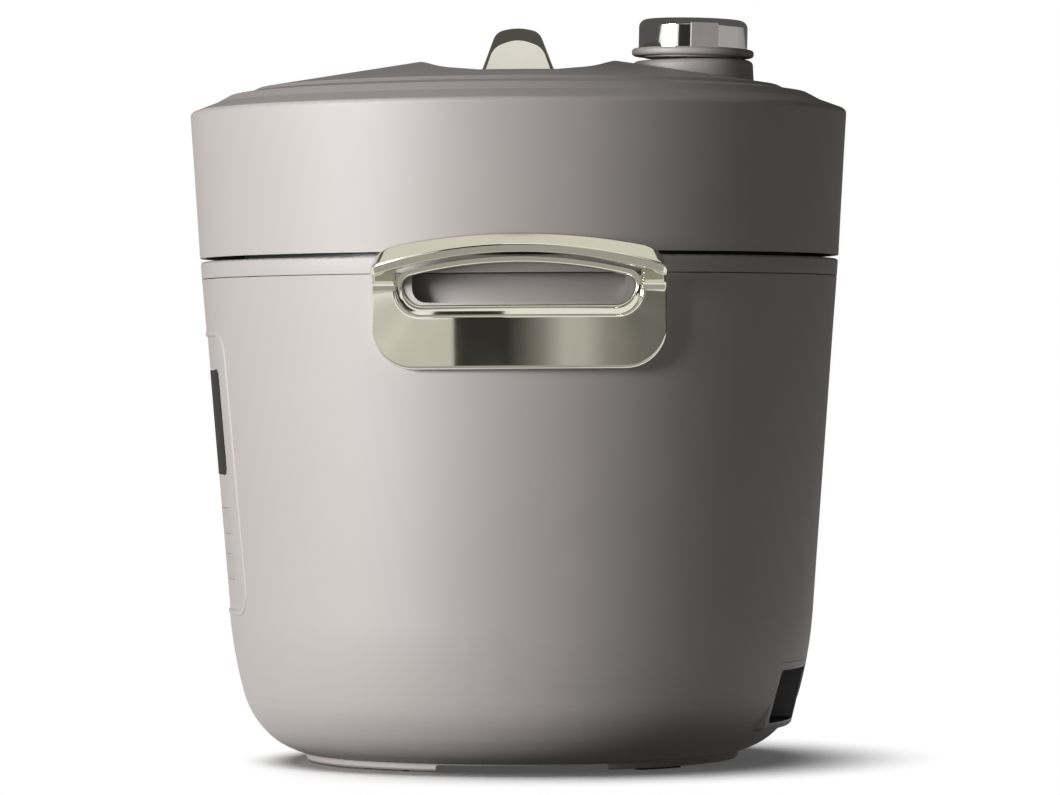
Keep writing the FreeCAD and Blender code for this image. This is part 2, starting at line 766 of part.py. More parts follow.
def base_screws():
    screws = []
    for angle in POST_ANGLES:
        x, y = polar(POST_RING_R, angle)
        head = rod(POST_SCREW_HEAD_R, BASE_PLATE_Z0 - POST_SCREW_HEAD_H, BASE_PLATE_Z0, x, y)
        shank = rod(POST_SCREW_R, BASE_PLATE_Z0 - JOIN, BASE_PLATE_Z1 + POST_SCREW_LEN - REST, x, y)
        screws.append(joined([head, shank]))
    return group(screws)


def outer_pot():
    section = [(GUIDE_OUT_R + GUIDE_GAP, WELL_FLOOR_Z), (WELL_OUT_R, WELL_FLOOR_Z, WELL_CORNER),
               (WELL_OUT_R, WELL_RIM_Z0), (WELL_RIM_R, WELL_RIM_Z0), (WELL_RIM_R, WELL_RIM_Z),
               (WELL_IN_R, WELL_RIM_Z), (WELL_IN_R, WELL_INSIDE_Z, WELL_CORNER - WELL_WALL),
               (GUIDE_OUT_R + GUIDE_GAP, WELL_INSIDE_Z)]
    pot = spun(section)
    for angle in TERMINAL_ANGLES:
        pot = pot.cut(rod(TERMINAL_HOLE_R, WELL_FLOOR_Z, WELL_INSIDE_Z, *polar(ELEMENT_RING_R, angle)))
    lugs = []
    for i in range(LUG_COUNT):
        lugs.append(sector(WELL_RIM_R - JOIN, LUG_R, WELL_RIM_Z0, WELL_RIM_Z, i * 360 / LUG_COUNT, LUG_ANGLE))
    return joined([pot] + lugs)


def element_ring(radius):
    return Part.makeTorus(ELEMENT_RING_R, radius, vec(0, 0, HEATER_Z0 + ELEMENT_SINK))


def heating_plate():
    section = [(HEATER_BORE, HEATER_Z0), (HEATER_R, HEATER_Z0, HEATER_ROUND), (HEATER_R, HEATER_Z1, HEATER_ROUND),
               (HEATER_BORE, HEATER_Z1)]
    plate = spun(section).cut(element_ring(ELEMENT_R + FIT))
    legs = []
    for angle in HEATER_LEG_ANGLES:
        legs.append(rod(HEATER_LEG_R, WELL_INSIDE_Z, HEATER_Z0 + JOIN, *polar(HEATER_LEG_R0, angle)))
    return joined([plate] + legs)


def heating_element():
    pieces = [element_ring(ELEMENT_R)]
    for angle in TERMINAL_ANGLES:
        pieces.append(rod(TERMINAL_R, WELL_FLOOR_Z - TERMINAL_DROP, HEATER_Z0 + ELEMENT_SINK,
                          *polar(ELEMENT_RING_R, angle)))
    return joined(pieces)


GUIDE_IN_R = SENSOR_NECK_R + GUIDE_GAP
GUIDE_OUT_R = GUIDE_IN_R + GUIDE_WALL
GUIDE_Z0 = WELL_FLOOR_Z - GUIDE_DEPTH
GUIDE_FLOOR_Z = GUIDE_Z0 + GUIDE_WALL
SENSOR_TOP_Z = HEATER_Z1
SENSOR_CEILING_Z = SENSOR_TOP_Z - SENSOR_CAP_H


def sensor_guide():
    """Cup under the outer pot's floor that holds the sensor and its spring."""
    section = [(SENSOR_STEM_R + GUIDE_GAP, GUIDE_Z0), (GUIDE_OUT_R, GUIDE_Z0),
               (GUIDE_OUT_R, WELL_FLOOR_Z - GUIDE_WALL), (GUIDE_FLANGE_R, WELL_FLOOR_Z - GUIDE_WALL),
               (GUIDE_FLANGE_R, WELL_FLOOR_Z), (GUIDE_OUT_R, WELL_FLOOR_Z),
               (GUIDE_OUT_R, WELL_INSIDE_Z + GUIDE_RISE), (GUIDE_IN_R, WELL_INSIDE_Z + GUIDE_RISE),
               (GUIDE_IN_R, GUIDE_FLOOR_Z), (SENSOR_STEM_R + GUIDE_GAP, GUIDE_FLOOR_Z)]
    return spun(section)


def temperature_sensor():
    """Capped neck with a centre stem, pressed up against the pot by its spring."""
    neck_z0 = GUIDE_FLOOR_Z + SENSOR_STROKE + SENSOR_STROKE
    inner = SENSOR_NECK_R - SENSOR_NECK_WALL
    section = [(0, GUIDE_Z0), (SENSOR_STEM_R, GUIDE_Z0), (SENSOR_STEM_R, SENSOR_CEILING_Z),
               (inner, SENSOR_CEILING_Z), (inner, neck_z0), (SENSOR_NECK_R, neck_z0),
               (SENSOR_NECK_R, SENSOR_CEILING_Z), (SENSOR_R, SENSOR_CEILING_Z), (SENSOR_R, SENSOR_TOP_Z, SENSOR_ROUND),
               (0, SENSOR_TOP_Z)]
    return spun(section)


def sensor_spring():
    """Open coil, climbing in quarter-turn arcs, between the guide's floor and the cap."""
    z0 = GUIDE_FLOOR_Z + SPRING_WIRE_R + FIT
    z1 = SENSOR_CEILING_Z - SPRING_WIRE_R - FIT
    steps = SPRING_TURNS * SPRING_STEPS

    def on_coil(i):
        x, y = polar(SPRING_R, i * 360 / SPRING_STEPS)
        return vec(x, y, z0 + (z1 - z0) * i / steps)

    edges = [Part.Arc(on_coil(i), on_coil(i + 1), on_coil(i + 2)).toShape() for i in range(0, steps, 2)]
    wire = Part.Wire(edges)
    start = on_coil(0)
    ring = Part.Wire(Part.makeCircle(SPRING_WIRE_R, start, edges[0].tangentAt(edges[0].FirstParameter)))
    return wire.makePipeShell([ring], True, False)


def power_board():
    board = block(*POWER_BOARD_X, *POWER_BOARD_Y, POWER_BOARD_Z, POWER_BOARD_Z + BOARD_T)
    return board


def centred_block(size, at, z0):
    return block(at[0] - size[0] / 2, at[0] + size[0] / 2, at[1] - size[1] / 2, at[1] + size[1] / 2,
                 z0, z0 + size[2])


def power_components():
    z0 = POWER_BOARD_Z + BOARD_T
    return group([centred_block(TRANSFORMER, TRANSFORMER_AT, z0), centred_block(RELAY, RELAY_AT, z0),
                  rod(CAPACITOR_R, z0, z0 + CAPACITOR_H, *CAPACITOR_AT)])


PANEL_MID_Z = (CONTROL_Z0 + CONTROL_Z1) / 2
TAPER_ANGLE = math.degrees(math.atan(BODY_TAPER))


def square_to_wall(shape):
    """Shape built behind an upright wall at PANEL_MID_Z, leaned with the drum's taper."""
    leaned = shape.copy()
    leaned.rotate(vec(0, -drum_r(PANEL_MID_Z), PANEL_MID_Z), vec(1, 0, 0), TAPER_ANGLE)
    return leaned


def depth_y(depth):
    return depth - drum_r(PANEL_MID_Z)


def wall_sag(x):
    """How far the round wall falls back from its front line at x."""
    radius = drum_r(PANEL_MID_Z)
    return radius - math.sqrt(radius * radius - x * x)


def rod_y(radius, depth0, depth1, x, z):
    return Part.makeCylinder(radius, depth1 - depth0, vec(x, depth_y(depth0), z), vec(0, 1, 0))


def boss_places():
    for x in (-BOSS_X, BOSS_X):
        for z in BOSS_Z:
            yield x, z


def control_panel():
    face = drum_layer(PANEL_SUNK, PANEL_T).common(front(panel_outline()))
    flange = drum_layer(SHELL_WALL + FIT, PANEL_T).common(front(panel_outline(PANEL_FLANGE)))
    pieces = [face, flange]
    start = wall_sag(BOSS_X) + PANEL_T - SHELL_WALL / 2
    for x, z in boss_places():
        pieces.append(square_to_wall(rod_y(BOSS_R, start, CONTROL_DEPTH, x, z)))
    panel = joined(pieces)
    lens_seat = drum_layer(-SHELL_WALL, PANEL_SUNK + DISPLAY_T + FIT).common(front(display_outline(FIT)))
    cuts = [lens_seat, front(display_outline(-DISPLAY_LEDGE))]
    for name, x, z in button_places():
        cuts.append(front(button_outline(x, z, FIT)))
    for x, z in boss_places():
        cuts.append(square_to_wall(rod_y(BOARD_SCREW_R + SCREW_FIT, CONTROL_DEPTH - BOARD_SCREW_LEN, CONTROL_DEPTH,
                                         x, z)))
    return panel.cut(group(cuts))


def display_window():
    return drum_layer(DISPLAY_SUNK, PANEL_SUNK + DISPLAY_T).common(front(display_outline()))


def display_module():
    half = DISPLAY_HALF - MODULE_IN
    front_depth = wall_sag(half) + PANEL_T + MODULE_GAP
    z0 = DISPLAY_Z0 + MODULE_IN
    z1 = DISPLAY_Z1 - MODULE_IN
    return square_to_wall(block(-half, half, depth_y(front_depth), depth_y(CONTROL_DEPTH), z0, z1))


def control_board():
    board = block(-CONTROL_HALF, CONTROL_HALF, depth_y(CONTROL_DEPTH), depth_y(CONTROL_DEPTH + BOARD_T),
                  CONTROL_Z0, CONTROL_Z1)
    for x, z in boss_places():
        board = board.cut(rod_y(BOARD_SCREW_R + SCREW_FIT, CONTROL_DEPTH, CONTROL_DEPTH + BOARD_T, x, z))
    return square_to_wall(board)


def board_screws():
    back = CONTROL_DEPTH + BOARD_T
    screws = []
    for x, z in boss_places():
        head = rod_y(BOARD_SCREW_HEAD_R, back, back + BOARD_SCREW_HEAD_H, x, z)
        shank = rod_y(BOARD_SCREW_R, CONTROL_DEPTH - BOARD_SCREW_LEN + REST, back + JOIN, x, z)
        screws.append(square_to_wall(joined([head, shank])))
    return group(screws)


def key_switches():
    switches = []
    for name, x, z in button_places():
        switches.append(square_to_wall(block(x - SWITCH_HALF, x + SWITCH_HALF, depth_y(CONTROL_DEPTH - SWITCH_H),
                                             depth_y(CONTROL_DEPTH), z - SWITCH_HALF, z + SWITCH_HALF)))
    return group(switches)


def button(x, z):
    cap = drum_layer(PANEL_SUNK, PANEL_T + REST + JOIN).common(front(button_outline(x, z)))
    flange = drum_layer(PANEL_T + REST, PANEL_T + REST + BUTTON_FLANGE_T)
    flange = flange.common(front(button_outline(x, z, BUTTON_FLANGE)))
    stem_start = wall_sag(x) + PANEL_T + REST + JOIN
    stem = square_to_wall(rod_y(BUTTON_STEM_R, stem_start, CONTROL_DEPTH - SWITCH_H - SWITCH_GAP, x, z))
    return joined([cap, flange, stem])


def inlet_face(sunk):
    """Everything inside the inlet's own flat-sloped face."""
    return spun([(0, INLET_Z0 - INLET_FRAME), (INLET_LOWER_R - sunk, INLET_Z0 - INLET_FRAME, INLET_CORNER),
                 (INLET_UPPER_R - sunk, INLET_Z1 + INLET_FRAME), (0, INLET_Z1 + INLET_FRAME)])


def inlet_frame():
    ring = prism_y(inlet_outline(INLET_FRAME), INLET_FLOOR_Y, FAR).cut(prism_y(inlet_outline(), INLET_FLOOR_Y, FAR))
    return ring.common(inlet_face(0.0))


def socket_outline(grow=0.0):
    half = SOCKET_HALF + grow
    top = INLET_MID_Z + SOCKET_HALF_H + grow
    bottom = INLET_MID_Z - SOCKET_HALF_H - grow
    return [(INLET_X - half, bottom), (INLET_X + half, bottom), (INLET_X + half, top - SOCKET_CHAMFER),
            (INLET_X + half - SOCKET_CHAMFER, top), (INLET_X - half + SOCKET_CHAMFER, top),
            (INLET_X - half, top - SOCKET_CHAMFER)]


SOCKET_Y0 = INLET_FLOOR_Y - SOCKET_DEPTH


def inlet_sleeve():
    """Lining of the recess inside the frame."""
    sleeve = prism_y(inlet_outline(-FIT / 2), INLET_FLOOR_Y, FAR)
    sleeve = sleeve.cut(prism_y(inlet_outline(-INLET_SLEEVE), INLET_FLOOR_Y, FAR))
    return sleeve.common(inlet_face(INLET_SLEEVE_SUNK))


def inlet_socket():
    plate = prism_y(inlet_outline(INLET_FRAME), INLET_FLOOR_Y - INLET_PLATE_T, INLET_FLOOR_Y)
    body = prism_y(socket_outline(SOCKET_WALL), SOCKET_Y0 - SOCKET_WALL, INLET_FLOOR_Y - JOIN)
    socket = joined([plate, body])
    socket = socket.cut(prism_y(socket_outline(), SOCKET_Y0, INLET_FLOOR_Y))
    for x, z in PIN_PLACES:
        socket = socket.cut(pin(x, z, SCREW_FIT / 2))
    return socket


def pin(x, z, grow):
    return block(INLET_X + x - PIN_HALF_W - grow, INLET_X + x + PIN_HALF_W + grow,
                 SOCKET_Y0 - SOCKET_WALL - PIN_TAIL, INLET_FLOOR_Y - PIN_SHORT,
                 INLET_MID_Z + z - PIN_HALF_H - grow, INLET_MID_Z + z + PIN_HALF_H + grow)


def inlet_pins():
    return group([pin(x, z, 0.0) for x, z in PIN_PLACES])


def handle_plate():
    """Curved plate on the drum with a stile at each side of the finger opening."""
    top = KNEE_Z + ARM_H
    sheet = [(-HANDLE_HALF, HANDLE_Z0, HANDLE_CORNER), (HANDLE_HALF, HANDLE_Z0, HANDLE_CORNER),
             (HANDLE_HALF, top), (-HANDLE_HALF, top)]
    window = arched(BEZEL_HALF + FIT, BEZEL_Z0 - FIT, BODY_TOP_Z, BEZEL_ROUND, BEZEL_TOP_ROUND)
    layer = drum_layer(-HANDLE_GAP - HANDLE_T, -HANDLE_GAP)
    return layer.common(prism_x(sheet, 0, FAR).cut(prism_x(window, 0, FAR)))


def grip_bar():
    """Arched bar in front of the finger opening, bowed like the drum, with rounded ends."""
    middle = vec(GRIP_R - GRIP_T / 2, 0, GRIP_TOP_Z - GRIP_H / 2)
    end_x = math.sqrt(middle.x ** 2 - HANDLE_HALF ** 2)
    end_z = middle.z - GRIP_ARCH_ROUND + math.sqrt(GRIP_ARCH_ROUND ** 2 - HANDLE_HALF ** 2)
    bow = Part.Arc(vec(end_x, -HANDLE_HALF, end_z), middle, vec(end_x, HANDLE_HALF, end_z)).toShape().Curve
    outward = (middle - bow.Center).normalize()

    def place(u, v):
        return middle + outward * u + bow.Axis * v

    half_turn = math.degrees(math.asin(HANDLE_HALF / bow.Radius))
    section = outline(rectangle(-GRIP_T / 2, GRIP_T / 2, -GRIP_H / 2, GRIP_H / 2, GRIP_EDGE), place)
    section.rotate(bow.Center, bow.Axis, -half_turn)
    bar = section.revolve(bow.Center, bow.Axis, 2 * half_turn)
    ends = [edge for edge in bar.Edges if edge.Length < GRIP_T]
    return bar.makeFillet(GRIP_END, ends)


def grip_arms():
    """Arms that reach out and up from the stiles to the ends of the bar."""
    plate_r = drum_r(KNEE_Z) + HANDLE_GAP + HANDLE_T / 2
    inner_y = BEZEL_HALF + FIT
    root_x = math.sqrt(plate_r ** 2 - HANDLE_HALF ** 2)
    bar_r = GRIP_R - GRIP_T / 2
    tip_x = math.sqrt(bar_r ** 2 - inner_y ** 2)
    tip_z = GRIP_TOP_Z - GRIP_H / 2 - HANDLE_HALF ** 2 / (2 * GRIP_ARCH_ROUND)
    profile = [(root_x, KNEE_Z - ARM_H / 2), (root_x + HANDLE_T, KNEE_Z - ARM_H / 2, ARM_ROUND),
               (tip_x, tip_z - ARM_H, ARM_ROUND), (tip_x, tip_z), (tip_x - ARM_H, tip_z),
               (root_x, KNEE_Z + ARM_H)]
    arm = prism_y(profile, inner_y, HANDLE_HALF)
    sides = [edge for edge in arm.Edges if abs(edge.tangentAt(edge.FirstParameter).y) < JOIN]
    arm = arm.makeFillet(ARM_EDGE, sides).cut(drum_layer(-HANDLE_GAP, HANDLE_T))
    return [arm, arm.mirror(ORIGIN, vec(0, 1, 0))]


def handle(angle):
    """Plate, arms and arched grip in one casting."""
    casting = joined([handle_plate(), grip_bar()] + grip_arms())
    face_r = drum_r(HANDLE_SCREW_Z) + HANDLE_GAP
    hole = radial_rod(HANDLE_SCREW_R + SCREW_FIT, 0, face_r + HANDLE_SCREW_DEPTH, HANDLE_SCREW_Z)
    casting = casting.cut(group([handle_screw_axis(hole, side) for side in (-1, 1)]))
    return turned(casting, angle)


def handle_bezel(angle):
    """Closed loop that lines the finger opening on the drum's face."""
    layer = drum_layer(-BEZEL_GAP - BEZEL_T, -BEZEL_GAP)
    outer = arched(BEZEL_HALF, BEZEL_Z0, BEZEL_TOP_Z, BEZEL_ROUND, BEZEL_TOP_ROUND)
    inner = arched(SLOT_HALF, SLOT_Z0, BEZEL_TOP_Z - BEZEL_TOP_W, SLOT_ROUND, SLOT_TOP_ROUND)
    loop = prism_x(outer, 0, FAR).cut(prism_x(inner, 0, FAR))
    return turned(layer.common(loop), angle)


def handle_screws():
    wall_r = drum_r(HANDLE_SCREW_Z - HANDLE_SCREW_HEAD_R) - SHELL_WALL - FIT
    seat = math.sqrt(wall_r ** 2 - HANDLE_SCREW_HEAD_R ** 2)
    tip = drum_r(HANDLE_SCREW_Z) + HANDLE_GAP + HANDLE_SCREW_DEPTH - FIT
    head = radial_rod(HANDLE_SCREW_HEAD_R, seat - HANDLE_SCREW_HEAD_H, seat, HANDLE_SCREW_Z)
    screw = joined([head, radial_rod(HANDLE_SCREW_R, seat - JOIN, tip, HANDLE_SCREW_Z)])
    return group([turned(handle_screw_axis(screw, side), angle) for side in (-1, 1) for angle in (0, 180)])


def inner_pot():
    floor_z = POT_Z0 + POT_FLOOR
    section = [(0, POT_Z0), (POT_OUT_R, POT_Z0, POT_CORNER + POT_WALL), (POT_OUT_R, POT_RIM_Z - POT_RIM_H),
               (POT_RIM_R, POT_RIM_Z - POT_RIM_H, POT_RIM_ROUND), (POT_RIM_R, POT_RIM_Z, POT_RIM_ROUND),
               (POT_R, POT_RIM_Z, POT_RIM_ROUND), (POT_R, floor_z, POT_CORNER), (0, floor_z)]
    return spun(section)


def sealing_ring():
    groove_z0 = INNER_LID_Z0 - FIT
    groove_z1 = INNER_LID_Z1 + FIT
    section = [(SEAL_R0, POT_RIM_Z + REST, SEAL_ROUND), (SEAL_R1, POT_RIM_Z + REST, SEAL_ROUND),
               (SEAL_R1, LINER_Z0 - REST, SEAL_ROUND), (SEAL_R0, LINER_Z0 - REST, SEAL_ROUND),
               (SEAL_R0, groove_z1), (SEAL_R0 + SEAL_GROOVE, groove_z1), (SEAL_R0 + SEAL_GROOVE, groove_z0),
               (SEAL_R0, groove_z0)]
    return spun(section)


def inner_lid():
    plate = tube(SEAL_R0 + SEAL_GROOVE - FIT, GROMMET_R + SCREW_FIT, INNER_LID_Z0, INNER_LID_Z1)
    for i in range(STEAM_HOLES):
        place = polar(STEAM_HOLE_RING_R, i * 360 / STEAM_HOLES)
        plate = plate.cut(rod(STEAM_HOLE_R, INNER_LID_Z0, INNER_LID_Z1, *place))
    return plate


def centre_grommet():
    bore = STUD_R + RUN
    z0 = INNER_LID_Z0 - FIT / 2
    z1 = INNER_LID_Z1 + FIT / 2
    section = [(bore, z0 - GROMMET_FLANGE_H), (GROMMET_FLANGE_R, z0 - GROMMET_FLANGE_H), (GROMMET_FLANGE_R, z0),
               (GROMMET_R, z0), (GROMMET_R, z1), (GROMMET_FLANGE_R, z1), (GROMMET_FLANGE_R, z1 + GROMMET_FLANGE_H),
               (bore, z1 + GROMMET_FLANGE_H)]
    return spun(section)


def lid_stud():
    """Bolt through the liner that the inner lid hangs on, with a nut below."""
    low = INNER_LID_Z0 - FIT / 2 - GROMMET_FLANGE_H - REST
    section = [(0, low - STUD_NUT_H), (STUD_NUT_R, low - STUD_NUT_H, STUD_NUT_H / 2), (STUD_NUT_R, low),
               (STUD_R, low), (STUD_R, LINER_Z1), (STUD_HEAD_R, LINER_Z1), (STUD_HEAD_R, LINER_Z1 + STUD_HEAD_H),
               (0, LINER_Z1 + STUD_HEAD_H)]
    return spun(section)


def lid_liner():
    """Steel lid with a skirt and inward lugs that turn under the outer pot's lugs."""
    path = [(SKIRT_OUT_R, LID_LUG_Z0, 0.0), (SKIRT_OUT_R, LINER_Z1 - LINER_SHOULDER, LINER_ROUND),
            (SKIRT_OUT_R - LINER_SHOULDER, LINER_Z1, LINER_ROUND), (0, LINER_Z1, 0.0)]
    liner = spun(path + shifted(path, LINER_T, "z", "r")[::-1])
    pitch = 360 / LUG_COUNT
    lugs = []
    for i in range(LUG_COUNT):
        lugs.append(sector(LID_LUG_R, SKIRT_IN_R + JOIN, LID_LUG_Z0, LID_LUG_Z1, (i + 0.5) * pitch, LUG_ANGLE))
    liner = joined([liner] + lugs)
    cuts = [rod(STUD_R + SCREW_FIT, LINER_Z0, LINER_Z1), rod(PIPE_R + SCREW_FIT, LINER_Z0, LINER_Z1, 0, VALVE_Y),
            rod(FLOAT_R + FLOAT_HOLE_GAP, LINER_Z0, LINER_Z1, FLOAT_X, FLOAT_Y)]
    for angle in LID_BOSS_ANGLES:
        cuts.append(rod(LID_SCREW_R + SCREW_FIT, LINER_Z0, LINER_Z1, *polar(LID_BOSS_RING_R, angle)))
    return liner.cut(group(cuts))


def lid_path():
    """Outer face of the lid: flared side, rim band, two steps and a shallow cone."""
    band_r = RIM_R - RIM_BAND_W
    step_r = band_r - STEP_W
    terrace_r = step_r - TERRACE_W
    band_z = RIM_Z + RIM_BAND_H
    step_z = band_z + STEP_H
    terrace_z = step_z + TERRACE_H
    return [(LID_BOTTOM_R, LID_BOTTOM_Z, 0.0), (RIM_R, RIM_Z, RIM_ROUND), (band_r, band_z, STEP_ROUND),
            (step_r, step_z, STEP_ROUND), (terrace_r, terrace_z, STEP_ROUND), (CONE_R, CONE_Z, STEP_ROUND),
            (0, CONE_Z + CONE_R * CONE_SLOPE, 0.0)]


def lid_face_z(radius):
    return CONE_Z + (CONE_R - radius) * CONE_SLOPE


def dish():
    """Space above the hollow across the lid under its handle, with a ridge in front and behind."""
    ridge_z = lid_face_z(DISH_RIDGE_Y)
    shoulder_z = DISH_Z + DISH_SHOULDER_H
    slope = (ridge_z - shoulder_z) / (DISH_RIDGE_Y - DISH_SHOULDER_Y)
    reach = DISH_RIDGE_Y + DISH_RIDGE_Y
    top = shoulder_z + (reach - DISH_SHOULDER_Y) * slope
    right = [(DISH_FLAT, DISH_Z), (DISH_SHOULDER_Y, shoulder_z, DISH_ROUND), (reach, top)]
    left = [(-corner[0],) + corner[1:] for corner in right[::-1]]
    return prism_x(right + left, -FAR, FAR)


def lid_cover():
    outer = lid_path()
    inner = shifted(outer, LID_WALL, "z", "r")
    ceiling = DISH_Z - LID_WALL
    below = dish()
    below.translate(vec(0, 0, -LID_WALL))
    room = spun(inner + [(0, LID_BOTTOM_Z, 0.0)]).cut(below)
    cover = spun(outer + [(0, LID_BOTTOM_Z, 0.0)]).cut(dish()).cut(room)
    root = TOWER_TOP_Z - TOWER_ROOT
    tower = spun([(0, root), (TOWER_R + TOWER_DRAFT, root), (TOWER_R, TOWER_TOP_Z, TOWER_ROUND), (0, TOWER_TOP_Z)])
    tower.translate(vec(0, VALVE_Y, 0))
    pieces = [cover, tower]
    for angle in LID_BOSS_ANGLES:
        boss_top = lid_face_z(LID_BOSS_RING_R) - LID_WALL / 2
        pieces.append(rod(LID_BOSS_R, LINER_Z1, boss_top, *polar(LID_BOSS_RING_R, angle)))
    cover = joined(pieces)
    cuts = [rod(TOWER_R - TOWER_WALL, root, TOWER_TOP_Z - TOWER_WALL, 0, VALVE_Y),
            rod(PIPE_R + PIPE_HOLE_GAP, root, TOWER_TOP_Z, 0, VALVE_Y),
            rod(FLOAT_R + FLOAT_HOLE_GAP, LINER_Z1, FAR, FLOAT_X, FLOAT_Y)]
    for angle in LID_BOSS_ANGLES:
        cuts.append(rod(LID_SCREW_R + SCREW_FIT, LINER_Z1, LINER_Z1 + LID_SCREW_LEN, *polar(LID_BOSS_RING_R, angle)))
    for x in (-BAR_SCREW_X, BAR_SCREW_X):
        cuts.append(rod(BAR_SCREW_R + SCREW_FIT, ceiling, DISH_Z, x, 0))
    return cover.cut(group(cuts))


def lid_screws():
    screws = []
    for angle in LID_BOSS_ANGLES:
        x, y = polar(LID_BOSS_RING_R, angle)
        head = rod(LID_SCREW_HEAD_R, LINER_Z0 - LID_SCREW_HEAD_H, LINER_Z0, x, y)
        screws.append(joined([head, rod(LID_SCREW_R, LINER_Z0 - JOIN, LINER_Z1 + LID_SCREW_LEN - REST, x, y)]))
    return group(screws)


def lid_handle():
    """Bar across the lid with leaning sides, a crowned top and rounded ends."""
    top = DISH_Z + BAR_H
    shoulder = DISH_Z + BAR_SHOULDER_H
    across = [(-BAR_FOOT_HALF, DISH_Z), (BAR_FOOT_HALF, DISH_Z), (BAR_TOP_HALF, shoulder, BAR_SHOULDER_ROUND),
              (0, top, BAR_CROWN_ROUND), (-BAR_TOP_HALF, shoulder, BAR_SHOULDER_ROUND)]
    end = BAR_HALF - BAR_END_LEAN
    along = [(-BAR_HALF, DISH_Z), (BAR_HALF, DISH_Z), (end, top, BAR_END_ROUND), (-end, top, BAR_END_ROUND)]
    plan = rectangle(-BAR_HALF, BAR_HALF, -BAR_FOOT_HALF, BAR_FOOT_HALF, BAR_CORNER)
    bar = prism_x(across, -BAR_HALF, BAR_HALF)
    bar = bar.common(prism_y(along, -BAR_FOOT_HALF, BAR_FOOT_HALF)).common(prism_z(plan, DISH_Z, top))
    for x in (-BAR_SCREW_X, BAR_SCREW_X):
        bar = bar.cut(rod(BAR_SCREW_R + SCREW_FIT, DISH_Z, DISH_Z + BAR_SCREW_DEPTH, x, 0))
    return bar


def lid_handle_screws():
    seat = DISH_Z - LID_WALL
    screws = []
    for x in (-BAR_SCREW_X, BAR_SCREW_X):
        head = rod(BAR_SCREW_HEAD_R, seat - BAR_SCREW_HEAD_H, seat, x, 0)
        screws.append(joined([head, rod(BAR_SCREW_R, seat - JOIN, DISH_Z + BAR_SCREW_DEPTH - REST, x, 0)]))
    return group(screws)


def steam_pipe():
    section = [(PIPE_BORE, LINER_Z0 - PIPE_THREAD_H), (PIPE_R, LINER_Z0 - PIPE_THREAD_H), (PIPE_R, LINER_Z1),
               (PIPE_FLANGE_R, LINER_Z1), (PIPE_FLANGE_R, LINER_Z1 + PIPE_FLANGE_H), (PIPE_R, LINER_Z1 + PIPE_FLANGE_H),
               (PIPE_R, TOWER_TOP_Z + PIPE_RISE), (PIPE_BORE, TOWER_TOP_Z + PIPE_RISE)]
    pipe = spun(section)
    pipe.translate(vec(0, VALVE_Y, 0))
    return pipe


def pipe_nut():
    corners = [polar(PIPE_NUT_R, i * 60) for i in range(6)]
    nut = prism_z(corners, LINER_Z0 - PIPE_NUT_H, LINER_Z0)
    nut = nut.cut(rod(PIPE_R + SCREW_FIT, LINER_Z0 - PIPE_NUT_H, LINER_Z0))
    nut.translate(vec(0, VALVE_Y, 0))
    return nut


def filter_cap():
    """Slotted cup over the pipe's lower end that keeps food out of the valve."""
    z0 = LINER_Z0 - FILTER_H
    cup = tube(FILTER_R, FILTER_R - FILTER_WALL, z0, LINER_Z0)
    cup = joined([cup, rod(FILTER_R, z0, z0 + FILTER_WALL)])
    for i in range(FILTER_SLOTS // 2):
        slot = block(-FAR, FAR, -FILTER_SLOT_W / 2, FILTER_SLOT_W / 2, z0 + 2 * FILTER_WALL, LINER_Z0 - 2 * FILTER_WALL)
        cup = cup.cut(turned(slot, i * 360 / FILTER_SLOTS))
    cup.translate(vec(0, VALVE_Y, 0))
    return cup


def on_valve(shape):
    """Shape built about Z from the tower's top, leaned back and set on the tower."""
    leaned = shape.copy()
    leaned.rotate(ORIGIN, vec(1, 0, 0), -VALVE_TILT)
    leaned.translate(vec(0, VALVE_Y, TOWER_TOP_Z))
    return leaned


FLANGE_Z0 = CAP_LIFT + NECK_H
FLANGE_Z1 = FLANGE_Z0 + FLANGE_H
SEAT_Z0 = PIPE_RISE + REST
SEAT_Z1 = SEAT_Z0 + CORE_SEAT_T


def tab(grow):
    body = block(CORE_R - FLANGE_H, TAB_REACH + grow, -TAB_W / 2 - grow, TAB_W / 2 + grow,
                 FLANGE_Z1 - JOIN, FLANGE_Z1 + TAB_H + grow)
    return turned(body, TAB_ANGLE)


def valve_core():
    """Cap body with a grip flange and a pointer tab. It sits loosely on the pipe."""
    bore = PIPE_R + CORE_BORE_GAP
    cavity = WEIGHT_R + WEIGHT_GAP
    cavity_top = SEAT_Z1 + WEIGHT_H + REST + REST
    section = [(bore, CAP_LIFT), (NECK_R, CAP_LIFT), (NECK_R, FLANGE_Z0), (FLANGE_R, FLANGE_Z0, FLANGE_ROUND),
               (FLANGE_R, FLANGE_Z1, FLANGE_ROUND), (CORE_R, FLANGE_Z1), (CORE_R, FLANGE_Z1 + CORE_H),
               (0, FLANGE_Z1 + CORE_H), (0, cavity_top), (cavity, cavity_top), (cavity, SEAT_Z1),
               (CORE_SEAT_R, SEAT_Z1), (CORE_SEAT_R, SEAT_Z0), (bore, SEAT_Z0)]
    return on_valve(joined([spun(section), tab(0.0)]))


def valve_weight():
    section = [(0, SEAT_Z0), (WEIGHT_TIP_R, SEAT_Z0), (CORE_SEAT_R - REST, SEAT_Z1 + REST),
               (WEIGHT_R, SEAT_Z1 + REST), (WEIGHT_R, SEAT_Z1 + REST + WEIGHT_H - REST), (0, SEAT_Z1 + WEIGHT_H)]
    return on_valve(spun(section))


